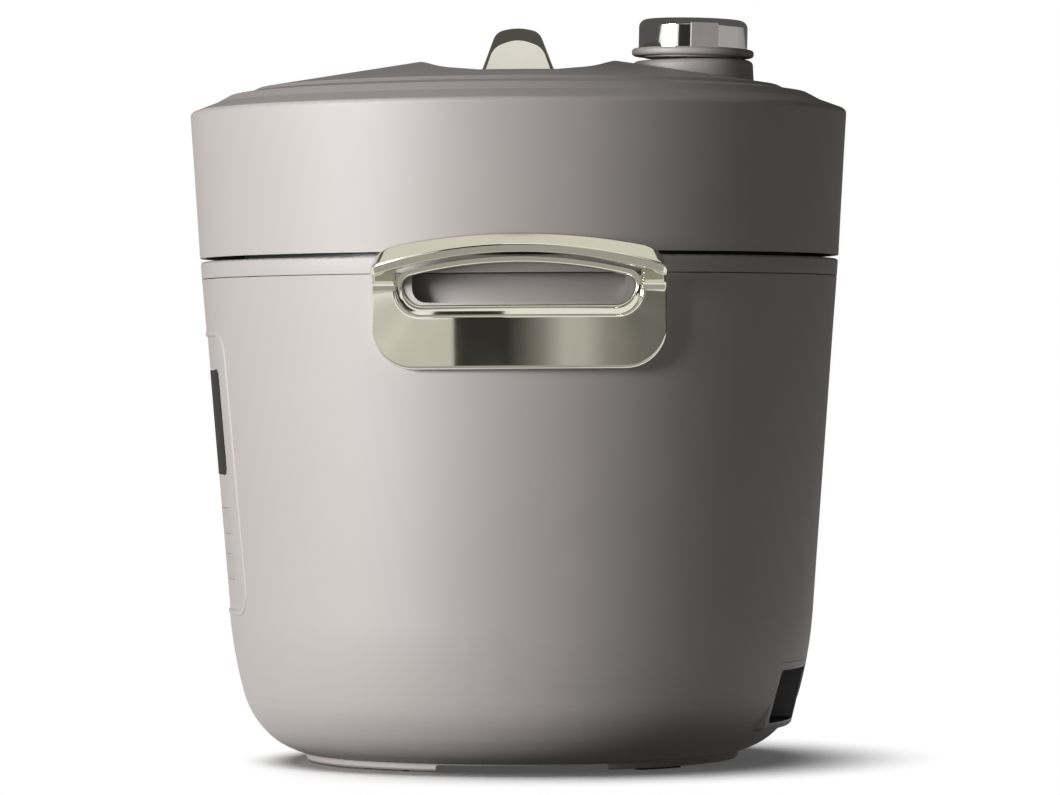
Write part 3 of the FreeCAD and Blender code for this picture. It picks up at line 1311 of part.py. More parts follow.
def valve_shell():
    """Bright cup over the core, notched for the tab."""
    z0 = FLANGE_Z1 + FIT
    top = FLANGE_Z1 + CHROME_H
    inner = CORE_R + FIT
    section = [(inner, z0), (CHROME_R, z0), (CHROME_R, top, CHROME_ROUND), (0, top), (0, top - CHROME_TOP),
               (inner, top - CHROME_TOP)]
    return on_valve(spun(section).cut(tab(FIT)))


FLOAT_LOW_Z = LINER_Z0 - REST - FLOAT_STROKE - FLOAT_SEAL_H - FLOAT_HEAD_H
FLOAT_SEAL_Z = FLOAT_LOW_Z + FLOAT_HEAD_H


def float_valve():
    """Pin that rises through the lid under pressure, held by a collar above the liner."""
    top = lid_face_z(math.hypot(FLOAT_X, FLOAT_Y)) - FLOAT_SUNK
    collar = LINER_Z1 + REST
    section = [(0, FLOAT_LOW_Z), (FLOAT_HEAD_R, FLOAT_LOW_Z), (FLOAT_HEAD_R, FLOAT_SEAL_Z), (FLOAT_R, FLOAT_SEAL_Z),
               (FLOAT_R, collar), (FLOAT_COLLAR_R, collar), (FLOAT_COLLAR_R, collar + FLOAT_COLLAR_H),
               (FLOAT_R, collar + FLOAT_COLLAR_H), (FLOAT_R, top), (0, top)]
    pin_shape = spun(section)
    pin_shape.translate(vec(FLOAT_X, FLOAT_Y, 0))
    return pin_shape


def float_seal():
    return tube(FLOAT_HEAD_R, FLOAT_R + SCREW_FIT, FLOAT_SEAL_Z, FLOAT_SEAL_Z + FLOAT_SEAL_H, FLOAT_X, FLOAT_Y)


def all_parts():
    parts = {
        "body_shell": body_shell(),
        "top_ring": top_ring(),
        "base_pan": base_pan(),
        "foot_pads": foot_pads(),
        "support_posts": support_posts(),
        "base_screws": base_screws(),
        "outer_pot": outer_pot(),
        "heating_plate": heating_plate(),
        "heating_element": heating_element(),
        "sensor_guide": sensor_guide(),
        "sensor_spring": sensor_spring(),
        "temperature_sensor": temperature_sensor(),
        "power_board": power_board(),
        "power_components": power_components(),
        "control_panel": control_panel(),
        "display_window": display_window(),
        "display_module": display_module(),
        "control_board": control_board(),
        "board_screws": board_screws(),
        "key_switches": key_switches(),
        "inlet_frame": inlet_frame(),
        "inlet_sleeve": inlet_sleeve(),
        "inlet_socket": inlet_socket(),
        "inlet_pins": inlet_pins(),
        "handle_right": handle(0),
        "handle_left": handle(180),
        "handle_bezel_right": handle_bezel(0),
        "handle_bezel_left": handle_bezel(180),
        "handle_screws": handle_screws(),
        "inner_pot": inner_pot(),
        "inner_lid": inner_lid(),
        "sealing_ring": sealing_ring(),
        "centre_grommet": centre_grommet(),
        "lid_cover": lid_cover(),
        "lid_liner": lid_liner(),
        "lid_stud": lid_stud(),
        "lid_screws": lid_screws(),
        "lid_handle": lid_handle(),
        "lid_handle_screws": lid_handle_screws(),
        "steam_pipe": steam_pipe(),
        "pipe_nut": pipe_nut(),
        "filter_cap": filter_cap(),
        "valve_core": valve_core(),
        "valve_weight": valve_weight(),
        "valve_shell": valve_shell(),
        "float_valve": float_valve(),
        "float_seal": float_seal(),
    }
    for name, x, z in button_places():
        parts[name] = button(x, z)
    return parts


os.makedirs("parts", exist_ok=True)
for node, shape in all_parts().items():
    shape.exportStep("parts/" + node + ".step")
    box = shape.BoundBox
    print(node, shape.isValid(), len(shape.Solids), round(shape.Volume / 1000, 2),
          [round(v, 1) for v in (box.XMin, box.XMax, box.YMin, box.YMax, box.ZMin, box.ZMax)])
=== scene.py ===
import json
import math

import bpy
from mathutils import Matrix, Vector


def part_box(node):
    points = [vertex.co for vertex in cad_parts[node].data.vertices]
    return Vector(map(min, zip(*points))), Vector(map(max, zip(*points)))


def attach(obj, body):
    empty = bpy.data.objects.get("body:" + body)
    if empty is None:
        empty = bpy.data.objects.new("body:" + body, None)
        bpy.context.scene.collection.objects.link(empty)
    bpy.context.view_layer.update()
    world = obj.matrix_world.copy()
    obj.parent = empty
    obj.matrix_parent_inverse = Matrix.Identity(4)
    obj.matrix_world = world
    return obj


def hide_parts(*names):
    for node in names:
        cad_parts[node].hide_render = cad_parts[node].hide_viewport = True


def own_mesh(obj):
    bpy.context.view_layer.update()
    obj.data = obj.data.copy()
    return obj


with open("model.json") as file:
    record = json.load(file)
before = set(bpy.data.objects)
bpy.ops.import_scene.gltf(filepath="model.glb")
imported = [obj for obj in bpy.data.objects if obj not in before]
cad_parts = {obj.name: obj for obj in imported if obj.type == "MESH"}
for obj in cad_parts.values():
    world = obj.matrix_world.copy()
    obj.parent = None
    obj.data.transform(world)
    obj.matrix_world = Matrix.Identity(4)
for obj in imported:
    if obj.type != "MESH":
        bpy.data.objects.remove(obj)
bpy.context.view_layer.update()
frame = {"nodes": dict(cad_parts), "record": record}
nodes = frame["nodes"]
record = frame["record"]
scene = bpy.context.scene

MM = 0.001
AHEAD = Vector((1.0, 0.0, 0.0))
ACROSS = Vector((0.0, 1.0, 0.0))
UP = Vector((0.0, 0.0, 1.0))
DOWN = Vector((0.0, 0.0, -1.0))
X_AXIS, Y_AXIS = 0, 1

# Colours, linear
WHITE = (1.0, 1.0, 1.0, 1.0)
GREIGE = (0.361, 0.330, 0.318, 1.0)
CHAMPAGNE = (0.735, 0.712, 0.620, 1.0)
CHROME = (0.780, 0.785, 0.790, 1.0)
STEEL = (0.560, 0.560, 0.565, 1.0)
ALUMINIUM = (0.660, 0.665, 0.670, 1.0)
BRASS = (0.720, 0.520, 0.240, 1.0)
NON_STICK = (0.045, 0.045, 0.048, 1.0)
BLACK = (0.012, 0.012, 0.013, 1.0)
SMOKED = (0.016, 0.016, 0.018, 1.0)
RUBBER = (0.030, 0.030, 0.031, 1.0)
SILICONE = (0.620, 0.615, 0.590, 1.0)
BOARD = (0.020, 0.110, 0.050, 1.0)

# Sockets of Blender's nodes, by number
OBJECT_PLACE = 3
MIX_FACTOR, MIX_FIRST, MIX_SECOND, MIX_COLOUR = 0, 6, 7, 2
BRICK_MORTAR = 1
CAMERA_RAY, GLOSSY_RAY, TRANSMISSION_RAY = 0, 3, 6


class Wire:
    """One output socket of a node tree. Sums, differences, products and powers of wires add Math nodes."""

    def __init__(self, tree, socket):
        self.tree = tree
        self.socket = socket

    def __add__(self, other):
        return self.tree.math("ADD", self, other)

    def __radd__(self, other):
        return self.tree.math("ADD", other, self)

    def __sub__(self, other):
        return self.tree.math("SUBTRACT", self, other)

    def __rsub__(self, other):
        return self.tree.math("SUBTRACT", other, self)

    def __mul__(self, other):
        return self.tree.math("MULTIPLY", self, other)

    def __rmul__(self, other):
        return self.tree.math("MULTIPLY", other, self)

    def __pow__(self, other):
        return self.tree.math("POWER", self, other)


class Tree:
    """The nodes of a material or of the world, with the one method that adds a node."""

    def __init__(self, node_tree):
        self.node_tree = node_tree

    def add(self, kind, settings=None, sockets=None):
        node = self.node_tree.nodes.new(kind)
        for key, value in (settings or {}).items():
            if key == "stops":
                self.set_stops(node.color_ramp, value)
            else:
                setattr(node, key, value)
        for key, value in (sockets or {}).items():
            self.feed(node.inputs[key], value)
        return [Wire(self, socket) for socket in node.outputs]

    def feed(self, socket, value):
        if isinstance(value, Wire):
            self.node_tree.links.new(value.socket, socket)
        else:
            socket.default_value = value

    def set_stops(self, ramp, stops):
        while len(ramp.elements) < len(stops):
            ramp.elements.new(1.0)
        for element, (place, colour) in zip(ramp.elements, stops):
            element.position = place
            element.color = colour

    def math(self, operation, first, second):
        return self.add("ShaderNodeMath", {"operation": operation}, {0: first, 1: second})[0]

    def split(self, vector):
        return self.add("ShaderNodeSeparateXYZ", {}, {0: vector})

    def seen_directly(self):
        """1 for rays from the camera, from a mirror and through glass."""
        rays = self.add("ShaderNodeLightPath")
        seen = self.math("MAXIMUM", rays[CAMERA_RAY], rays[GLOSSY_RAY])
        return self.math("MAXIMUM", seen, rays[TRANSMISSION_RAY])


class Paint(Tree):
    """A material with one Principled shader."""

    def __init__(self, name):
        self.material = bpy.data.materials.new(name)
        self.material.use_nodes = True
        super().__init__(self.material.node_tree)
        self.shader = self.node_tree.nodes["Principled BSDF"]

    def set(self, **sockets):
        for key, value in sockets.items():
            self.feed(self.shader.inputs[key.replace("_", " ")], value)

    def place(self):
        return self.add("ShaderNodeTexCoord")[OBJECT_PLACE]

    def noise(self, scale, detail, where=None):
        sockets = {"Vector": where or self.place(), "Scale": scale, "Detail": detail}
        return self.add("ShaderNodeTexNoise", {}, sockets)[0]

    def tones(self, mask, colour, dark, light):
        """The colour times dark where the mask is 0, and times light where it is 1."""
        sockets = {MIX_FACTOR: mask, MIX_FIRST: shade(colour, dark), MIX_SECOND: shade(colour, light)}
        return self.add("ShaderNodeMix", {"data_type": "RGBA"}, sockets)[MIX_COLOUR]

    def bump(self, height, strength, distance):
        sockets = {"Height": height, "Strength": strength, "Distance": distance}
        self.set(Normal=self.add("ShaderNodeBump", {}, sockets)[0])


def shade(colour, factor):
    return tuple(channel * factor for channel in colour[:3]) + (1.0,)


def satin_lacquer(name, colour):
    """Soft-feel lacquer: even colour with a faint cloud, and a grain too fine to see as dots."""
    paint = Paint(name)
    cloud = paint.noise(scale=14.0, detail=3.0)
    grain = paint.noise(scale=2600.0, detail=2.0)
    paint.set(Base_Color=paint.tones(cloud, colour, dark=0.965, light=1.035),
              Roughness=0.55 + 0.06 * grain, Specular_IOR_Level=1.0)
    paint.bump(grain, strength=0.10, distance=0.00012)
    return paint.material


def polished_metal(name, colour, roughness):
    """Polished plate: faint wiping marks in the gloss."""
    paint = Paint(name)
    wipes = paint.noise(scale=90.0, detail=4.0)
    paint.set(Base_Color=paint.tones(wipes, colour, dark=0.975, light=1.02), Metallic=1.0,
              Roughness=roughness + 0.05 * wipes)
    return paint.material


SPUN_RINGS = 900.0     # marks to the metre, out from the axis and up it
SPUN_STREAKS = 1.6     # marks to the radian, round the axis


def spun_metal(name, colour, roughness):
    """Metal turned or brushed round the drum's axis: fine rings in gloss and height."""
    paint = Paint(name)
    x, y, z = paint.split(paint.place())
    radius = (x * x + y * y) ** 0.5
    turn = paint.math("ARCTAN2", y, x)
    unrolled = {0: radius * SPUN_RINGS, 1: turn * SPUN_STREAKS, 2: z * SPUN_RINGS}
    marks = paint.noise(scale=1.0, detail=3.0, where=paint.add("ShaderNodeCombineXYZ", {}, unrolled)[0])
    paint.set(Base_Color=paint.tones(marks, colour, dark=0.90, light=1.06), Metallic=1.0,
              Roughness=roughness - 0.05 + 0.14 * marks)
    paint.bump(marks, strength=0.12, distance=0.0001)
    return paint.material


def cast_metal(name, colour, roughness):
    """Cast or plated metal with a fine sandy skin."""
    paint = Paint(name)
    sand = paint.noise(scale=700.0, detail=3.0)
    cloud = paint.noise(scale=40.0, detail=2.0)
    paint.set(Base_Color=paint.tones(cloud, colour, dark=0.90, light=1.05), Metallic=1.0,
              Roughness=roughness - 0.06 + 0.12 * sand)
    paint.bump(sand, strength=0.15, distance=0.0002)
    return paint.material


def moulded_plastic(name, colour, roughness):
    """Spark-eroded moulding grain."""
    paint = Paint(name)
    grain = paint.noise(scale=900.0, detail=3.0)
    cloud = paint.noise(scale=25.0, detail=2.0)
    paint.set(Base_Color=paint.tones(cloud, colour, dark=0.88, light=1.10),
              Roughness=roughness - 0.08 + 0.16 * grain)
    paint.bump(grain, strength=0.25, distance=0.0002)
    return paint.material


def smoked_glass(name):
    """Dark display cover: glossy face over an inked back."""
    paint = Paint(name)
    smear = paint.noise(scale=60.0, detail=4.0)
    paint.set(Base_Color=paint.tones(smear, SMOKED, dark=0.8, light=1.2),
              Roughness=0.05 + 0.05 * smear, Coat_Weight=0.6, Coat_Roughness=0.03)
    return paint.material


def soft_rubber(name, colour, roughness):
    """Rubber or silicone with a dusty bloom."""
    paint = Paint(name)
    bloom = paint.noise(scale=55.0, detail=4.0)
    grain = paint.noise(scale=1400.0, detail=2.0)
    paint.set(Base_Color=paint.tones(bloom, colour, dark=0.90, light=1.12),
              Roughness=roughness - 0.05 + 0.10 * grain)
    paint.bump(grain, strength=0.18, distance=0.0001)
    return paint.material


FLECK_SCALE = 420.0
FLECK_SIZE = 0.16
FLECK_COVER = 0.5


def non_stick(name):
    """Dark coating with pale flecks."""
    paint = Paint(name)
    cells = paint.add("ShaderNodeTexVoronoi", {}, {"Vector": paint.place(), "Scale": FLECK_SCALE})[0]
    flecks = paint.math("LESS_THAN", cells, FLECK_SIZE)
    grain = paint.noise(scale=1100.0, detail=3.0)
    paint.set(Base_Color=paint.tones(flecks * FLECK_COVER, NON_STICK, dark=1.0, light=4.0), Metallic=0.25,
              Roughness=0.36 + 0.12 * grain)
    paint.bump(grain, strength=0.12, distance=0.0001)
    return paint.material


def circuit_board(name):
    """Green mask with the copper tracks showing through as paler lines."""
    paint = Paint(name)
    layout = {"Vector": paint.place(), "Scale": 90.0, "Mortar Size": 0.03, "Mortar Smooth": 0.1}
    tracks = paint.add("ShaderNodeTexBrick", {"offset": 0.35, "squash": 1.7}, layout)[BRICK_MORTAR]
    cloud = paint.noise(scale=70.0, detail=2.0)
    paint.set(Base_Color=paint.tones(tracks, BOARD, dark=1.0, light=2.2), Roughness=0.30 + 0.12 * cloud)
    paint.bump(tracks, strength=0.3, distance=0.0001)
    return paint.material


finishes = {
    "body_satin": satin_lacquer("satin_lacquer_body", GREIGE),
    "lid_satin": satin_lacquer("satin_lacquer_lid", GREIGE),
    "panel_satin": satin_lacquer("satin_lacquer_panel", GREIGE),
    "button_plastic": satin_lacquer("satin_button", shade(GREIGE, 0.96)),
    "champagne_metal": polished_metal("champagne_plate", CHAMPAGNE, roughness=0.06),
    "chrome": polished_metal("chrome_plate", CHROME, roughness=0.04),
    "display_glass": smoked_glass("smoked_display"),
    "black_plastic": moulded_plastic("black_moulding", BLACK, roughness=0.45),
    "base_plastic": satin_lacquer("satin_lacquer_base", shade(GREIGE, 0.97)),
    "rubber": soft_rubber("foot_rubber", RUBBER, roughness=0.75),
    "silicone": soft_rubber("clear_silicone", SILICONE, roughness=0.42),
    "steel": spun_metal("spun_steel", STEEL, roughness=0.24),
    "screw_steel": cast_metal("screw_plating", STEEL, roughness=0.30),
    "aluminium": cast_metal("cast_aluminium", ALUMINIUM, roughness=0.36),
    "pot_coating": non_stick("non_stick_coating"),
    "brass": cast_metal("brass_pins", BRASS, roughness=0.22),
    "board": circuit_board("circuit_board"),
    "component": moulded_plastic("component_moulding", shade(BLACK, 2.0), roughness=0.4),
}
slot_of = {entry["node"]: entry["material_slot"] for entry in record["subparts"]}
body_of = {node: body for body, members in record["behaviour"]["bodies"].items() for node in members}
finish_of = {node: finishes[slot] for node, slot in slot_of.items()}
# Painted shade: the lid liner's steel is darkened so that its skirt, seen through the narrow gap between lid
# and body, reads as shade
finish_of["lid_liner"] = spun_metal("liner_steel", shade(STEEL, 0.40), roughness=0.46)
for node, piece in nodes.items():
    piece.data.materials.clear()
    piece.data.materials.append(finish_of[node])


# Modelling: ribs set in space are bridged into half a piece, which is then mirrored
MERGE = 0.00001         # points closer than this become one, in metres
SKIN_SMOOTH = 32.0      # edges that bend by less than this shade smooth, in degrees
TURNED_SMOOTH = 30.0    # the same for turned pieces
ROUND_STEPS = 5         # on each rounded corner of a rib
RIB_FLAT = 0.5          # beside each rounded corner, a stretch that stays flat, in millimetres


def select(pieces):
    """Select these alone, with the first one active."""
    bpy.ops.object.select_all(action="DESELECT")
    for piece in pieces:
        piece.select_set(True)
    bpy.context.view_layer.objects.active = pieces[0]


def edit_mode(piece):
    select([piece])
    bpy.ops.object.mode_set(mode="EDIT")


def object_mode():
    bpy.ops.object.mode_set(mode="OBJECT")


def rounded(corners, flat=RIB_FLAT):
    """Points of a closed outline with rounded corners (u, v, radius) and a flat stretch beside each."""
    points = []
    for index, (u, v, radius) in enumerate(corners):
        here = Vector((u, v))
        before = (Vector(corners[index - 1][:2]) - here).normalized()
        after = (Vector(corners[(index + 1) % len(corners)][:2]) - here).normalized()
        half = before.angle(after) / 2
        reach = radius / math.tan(half)
        middle = here + (before + after).normalized() * (radius / math.sin(half))
        first = here + before * reach - middle
        last = here + after * reach - middle
        turn = first.angle_signed(last)
        points.append(here + before * (reach + flat))
        for k in range(ROUND_STEPS + 1):
            angle = -turn * k / ROUND_STEPS
            points.append(middle + Vector((first.x * math.cos(angle) - first.y * math.sin(angle),
                                           first.x * math.sin(angle) + first.y * math.cos(angle))))
        points.append(here + after * (reach + flat))
    return points


def rib(points, centre, across, outward):
    """One rib of a skin: flat outline points set in space."""
    return [centre + across * u + outward * v for u, v in points]


def joined(name, pieces):
    select(pieces)
    bpy.ops.object.join()
    pieces[0].name = pieces[0].data.name = name
    return pieces[0]


def skin(name, ribs):
    """Bridge a row of ribs, in millimetres, into one sleeve."""
    bpy.ops.object.select_all(action="DESELECT")
    loops = []
    for points in ribs:
        bpy.ops.mesh.primitive_circle_add(vertices=len(points))
        loop = bpy.context.object
        for vertex, place in zip(loop.data.vertices, points):
            vertex.co = place * MM
        loops.append(loop)
    piece = joined(name, loops)
    edit_mode(piece)
    bpy.ops.mesh.select_all(action="SELECT")
    bpy.ops.mesh.bridge_edge_loops()
    object_mode()
    return piece


def apply_modifier(piece, kind, **settings):
    added = piece.modifiers.new(kind.lower(), kind)
    for key, value in settings.items():
        setattr(added, key, value)
    bpy.context.view_layer.objects.active = piece
    bpy.ops.object.modifier_apply(modifier=added.name)


def close_up(piece, smooth_angle=SKIN_SMOOTH):
    """Fill the open ends, turn the faces outwards and smooth what isn't an edge."""
    edit_mode(piece)
    bpy.ops.mesh.select_all(action="SELECT")
    bpy.ops.mesh.fill_holes(sides=0)
    bpy.ops.mesh.select_all(action="SELECT")
    bpy.ops.mesh.normals_make_consistent(inside=False)
    object_mode()
    bpy.ops.object.shade_smooth_by_angle(angle=math.radians(smooth_angle))


def both_sides(piece, axis):
    """Mirror a half across the middle of the part."""
    flags = [index == axis for index in range(3)]
    apply_modifier(piece, "MIRROR", use_axis=flags, use_clip=True, merge_threshold=MERGE)


def half_turn_copy(piece, name):
    """The same piece on the other side of the drum."""
    select([piece])
    bpy.ops.object.duplicate()
    other = bpy.context.object
    other.name = other.data.name = name
    edit_mode(other)
    bpy.ops.mesh.select_all(action="SELECT")
    bpy.ops.transform.rotate(value=math.pi, orient_axis="Z", center_override=(0.0, 0.0, 0.0))
    object_mode()
    return other


def dress(piece, node):
    """Put the piece in the place of a CAD node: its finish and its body."""
    piece.data.materials.clear()
    piece.data.materials.append(finish_of[node])
    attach(piece, body_of[node])
    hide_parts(node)


def crease(piece, angle, within):
    """Where the test holds, keep just the edges that bend by more than the angle sharp."""
    edit_mode(piece)
    bpy.ops.mesh.select_mode(type="EDGE")
    bpy.ops.mesh.select_all(action="DESELECT")
    bpy.ops.mesh.edges_select_sharp(sharpness=math.radians(angle))
    object_mode()
    points = piece.data.vertices
    for edge in piece.data.edges:
        first, last = (points[index].co for index in edge.vertices)
        if within((first + last) / 2.0):
            edge.use_edge_sharp = edge.select


def evened(node, creases=()):
    """Copy of a CAD piece with its seam closed, so that its walls shade without a line."""
    copy = bpy.data.objects.new(node + "_turned", nodes[node].data.copy())
    copy.data.name = copy.name
    scene.collection.objects.link(copy)
    edit_mode(copy)
    bpy.ops.mesh.select_all(action="SELECT")
    bpy.ops.mesh.remove_doubles(threshold=MERGE)
    bpy.ops.mesh.customdata_custom_splitnormals_clear()
    object_mode()
    bpy.ops.object.shade_smooth_by_angle(angle=math.radians(TURNED_SMOOTH))
    for angle, within in creases:
        crease(copy, angle, within)
    apply_modifier(copy, "WEIGHTED_NORMAL", keep_sharp=True)
    dress(copy, node)
    return copy


# Turned pieces: the lid's dish meets its cone at shallow angles, and rounded rims have steep slivers
DISH_CREASE = 8.5
DISH_REACH = 48.0 * MM
CONE_REACH = 112.0 * MM
CONE_FOOT = 295.0 * MM
RIM_CREASE = 65.0
RIM_INSIDE = 135.0 * MM
LID_RIM_FOOT = 270.0 * MM


def in_dish(place):
    return place.z > CONE_FOOT and abs(place.y) < DISH_REACH and place.xy.length < CONE_REACH


def on_lid_rim(place):
    return place.z > LID_RIM_FOOT and place.xy.length > RIM_INSIDE


def on_ring_rim(place):
    return place.xy.length > RIM_INSIDE


for turned in ("body_shell", "base_pan", "lid_liner", "valve_core", "valve_shell", "inner_pot", "outer_pot"):
    evened(turned)
evened("top_ring", ((RIM_CREASE, on_ring_rim),))
evened("lid_cover", ((DISH_CREASE, in_dish), (RIM_CREASE, on_lid_rim)))


def sensor_spring():
    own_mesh(evened("sensor_spring"))


sensor_spring()


# Wall of the drum, in millimetres, seen from the handle's side
BODY_TOP_R = 141.0
BODY_TOP_Z = 220.6
BODY_TAPER = 0.0776


def on_drum(y, z, off):
    """Point on the handle's side, off the drum's wall by a given height."""
    wall = BODY_TOP_R - (BODY_TOP_Z - z) * BODY_TAPER
    return Vector((math.sqrt((wall + off) ** 2 - y * y), y, z))


def heading(angle):
    """Level direction, at an angle from the handle's side."""
    return Vector((math.cos(angle), math.sin(angle), 0.0))


def level(place):
    """Direction from the drum's axis to the place."""
    return Vector((place.x, place.y, 0.0)).normalized()


def off_drum(place):
    """Direction square to the drum's wall."""
    return (level(place) - UP * BODY_TAPER).normalized()


def section_axes(first, last):
    """Directions from one end of a section to the other, and off the drum square to that."""
    across = (last - first).normalized()
    outward = off_drum((first + last) / 2)
    return across, (outward - across * outward.dot(across)).normalized()


# Side handle: curved plate with two stiles that bend out to an arched bar
HANDLE_HALF = 61.7
HANDLE_Z0 = 172.5
HANDLE_CORNER = 17.6
HANDLE_OFF = 2.45         # middle of the plate's thickness above the drum
HANDLE_T = 4.5
HANDLE_FACE_ROUND = 1.3
HANDLE_BACK_ROUND = 0.3
WINDOW_HALF = 51.2
WINDOW_Z0 = 195.5
WINDOW_ROUND = 10.7
WINDOW_CORNER_Y = WINDOW_HALF - WINDOW_ROUND
WINDOW_CORNER_Z = WINDOW_Z0 + WINDOW_ROUND
PLATE_STEPS = 12
CORNER_STEPS = 18
ARM_BEND = 5.0
ARM_LEAN = 74.0
ARM_RUN = 13.5
ARM_BEND_STEPS = 9
ARM_RUN_STEPS = 5
BAR_R = 161.0
BAR_T = 10.0
BAR_TOP_Z = 229.8
BAR_LOW_Z = 221.2
BAR_TOP_ARCH = 288.0
BAR_LOW_ARCH = 195.0
BAR_FACE_H = 3.6
BAR_FACE_LEAN = 1.5
BAR_NAPE_DROP = 1.5
BAR_CROWN_AT = 0.35       # share of the way from the bar's back to its front
BAR_FOOT_ROUND = 1.5
BAR_CHIN_ROUND = 0.8
BAR_FACE_ROUND = 1.7
BAR_CROWN_ROUND = 2.6
BAR_NAPE_ROUND = 1.2
BAR_FLAT = 0.3
BAR_END = 9.5             # length over which the top rounds off at the bar's end
BAR_SHOULDER = 7.5        # how far the top drops there
BAR_FACE_END = 5.0        # length over which the face rounds off, and by how much
BAR_BACK_DRAW = 0.8
BAR_ROUND_SHRINK = 0.75
BAR_FACE_SHRINK = 0.6
BAR_STEPS = 14
BAR_END_STEPS = 15


def strip(half):
    """Outline of the plate's section, with its face rounded more than its back."""
    depth = HANDLE_T / 2
    return rounded([(-half, -depth, HANDLE_BACK_ROUND), (-half, depth, HANDLE_FACE_ROUND),
                    (half, depth, HANDLE_FACE_ROUND), (half, -depth, HANDLE_BACK_ROUND)])


def plate_rib(inner, outer):
    """Section of the plate from the finger opening's edge to the outer edge."""
    first, last = on_drum(*inner, HANDLE_OFF), on_drum(*outer, HANDLE_OFF)
    return rib(strip((last - first).length / 2), (first + last) / 2, *section_axes(first, last))


def plate_outer(angle):
    """Where a line from the opening's corner centre meets the plate's outer edge, as (y, z)."""
    start = Vector((WINDOW_CORNER_Y, WINDOW_CORNER_Z))
    along = Vector((math.sin(angle), -math.cos(angle)))
    corner = Vector((HANDLE_HALF - HANDLE_CORNER, HANDLE_Z0 + HANDLE_CORNER))
    offset = start - corner
    middle = offset.dot(along)
    reach = -middle + math.sqrt(middle ** 2 - offset.length_squared + HANDLE_CORNER ** 2)
    place = start + along * reach
    if place.x < corner.x:
        place = start + along * ((WINDOW_CORNER_Z - HANDLE_Z0) / math.cos(angle))
    if place.y > corner.y:
        place = start + along * ((HANDLE_HALF - WINDOW_CORNER_Y) / math.sin(angle))
    return place


def plate_ribs():
    ribs = []
    for k in range(PLATE_STEPS):
        y = WINDOW_CORNER_Y * k / PLATE_STEPS
        ribs.append(plate_rib((y, WINDOW_Z0), (y, HANDLE_Z0)))
    for k in range(CORNER_STEPS + 1):
        angle = math.radians(90.0 * k / CORNER_STEPS)
        inner = (WINDOW_CORNER_Y + WINDOW_ROUND * math.sin(angle),
                 WINDOW_CORNER_Z - WINDOW_ROUND * math.cos(angle))
        ribs.append(plate_rib(inner, plate_outer(angle)))
    return ribs


def arm_ribs():
    """The stile bends out of the plate and runs out under the bar's end."""
    start = on_drum((HANDLE_HALF + WINDOW_HALF) / 2, WINDOW_CORNER_Z, HANDLE_OFF)
    out = level(start)
    across = Vector((-out.y, out.x, 0.0))
    outline = strip((HANDLE_HALF - WINDOW_HALF) / 2 / out.x)
    turn_centre = start + AHEAD * ARM_BEND
    lean = math.radians(ARM_LEAN)
    ribs = []
    for k in range(1, ARM_BEND_STEPS + 1):
        angle = lean * k / ARM_BEND_STEPS
        place = turn_centre - AHEAD * (ARM_BEND * math.cos(angle)) + UP * (ARM_BEND * math.sin(angle))
        ribs.append(rib(outline, place, across, out * math.cos(angle) - UP * math.sin(angle)))
    outward = out * math.cos(lean) - UP * math.sin(lean)
    for k in range(1, ARM_RUN_STEPS + 1):
        ahead = ARM_RUN * math.sin(lean) * k / ARM_RUN_STEPS - ARM_BEND * math.cos(lean)
        up = ARM_BEND * math.sin(lean) + ARM_RUN * math.cos(lean) * k / ARM_RUN_STEPS
        ribs.append(rib(outline, turn_centre + AHEAD * ahead + UP * up, across, outward))
    return ribs


def bar_rib(y):
    """Section of the bar: face that leans in below, crowned top, both rounded off towards the bar's end."""
    over = max(0.0, (y - HANDLE_HALF) / BAR_END + 1)
    past = max(0.0, (y - HANDLE_HALF) / BAR_FACE_END + 1)
    drawn = 1 - math.sqrt(1 - past ** 2)
    size = 1 - BAR_ROUND_SHRINK * drawn
    top = BAR_TOP_Z - y ** 2 / (2 * BAR_TOP_ARCH) - BAR_SHOULDER * (1 - math.sqrt(1 - over ** 2))
    low = BAR_LOW_Z - y ** 2 / (2 * BAR_LOW_ARCH)
    face = low + BAR_FACE_H * (1 - BAR_FACE_SHRINK * drawn)
    front = BAR_T / 2 - BAR_FACE_END * drawn
    back = -BAR_T / 2 + BAR_BACK_DRAW * drawn
    crown = back + (front - back) * BAR_CROWN_AT
    corners = [(low, back, BAR_FOOT_ROUND * size), (low, front - BAR_FACE_LEAN * size, BAR_CHIN_ROUND * size),
               (face, front, BAR_FACE_ROUND * size), (top, crown, BAR_CROWN_ROUND * size),
               (top - BAR_NAPE_DROP * size, back, BAR_NAPE_ROUND * size)]
    outward = heading(math.asin(y / BAR_R))
    return rib(rounded(corners, BAR_FLAT * size), outward * BAR_R, UP, outward)


def side_handle():
    casting = skin("handle_right_cast", plate_ribs() + arm_ribs())
    straight = HANDLE_HALF - BAR_END
    along = [straight * k / BAR_STEPS for k in range(BAR_STEPS + 1)]
    for k in range(1, BAR_END_STEPS + 1):
        along.append(straight + BAR_END * math.sin(math.radians(90.0 * k / BAR_END_STEPS)))
    bar = skin("grip_bar", [bar_rib(y) for y in along])
    for piece in (casting, bar):
        both_sides(piece, Y_AXIS)
        close_up(piece)
    return joined("handle_right_cast", [casting, bar])


right_handle = side_handle()
left_handle = half_turn_copy(right_handle, "handle_left_cast")
dress(right_handle, "handle_right")
dress(left_handle, "handle_left")


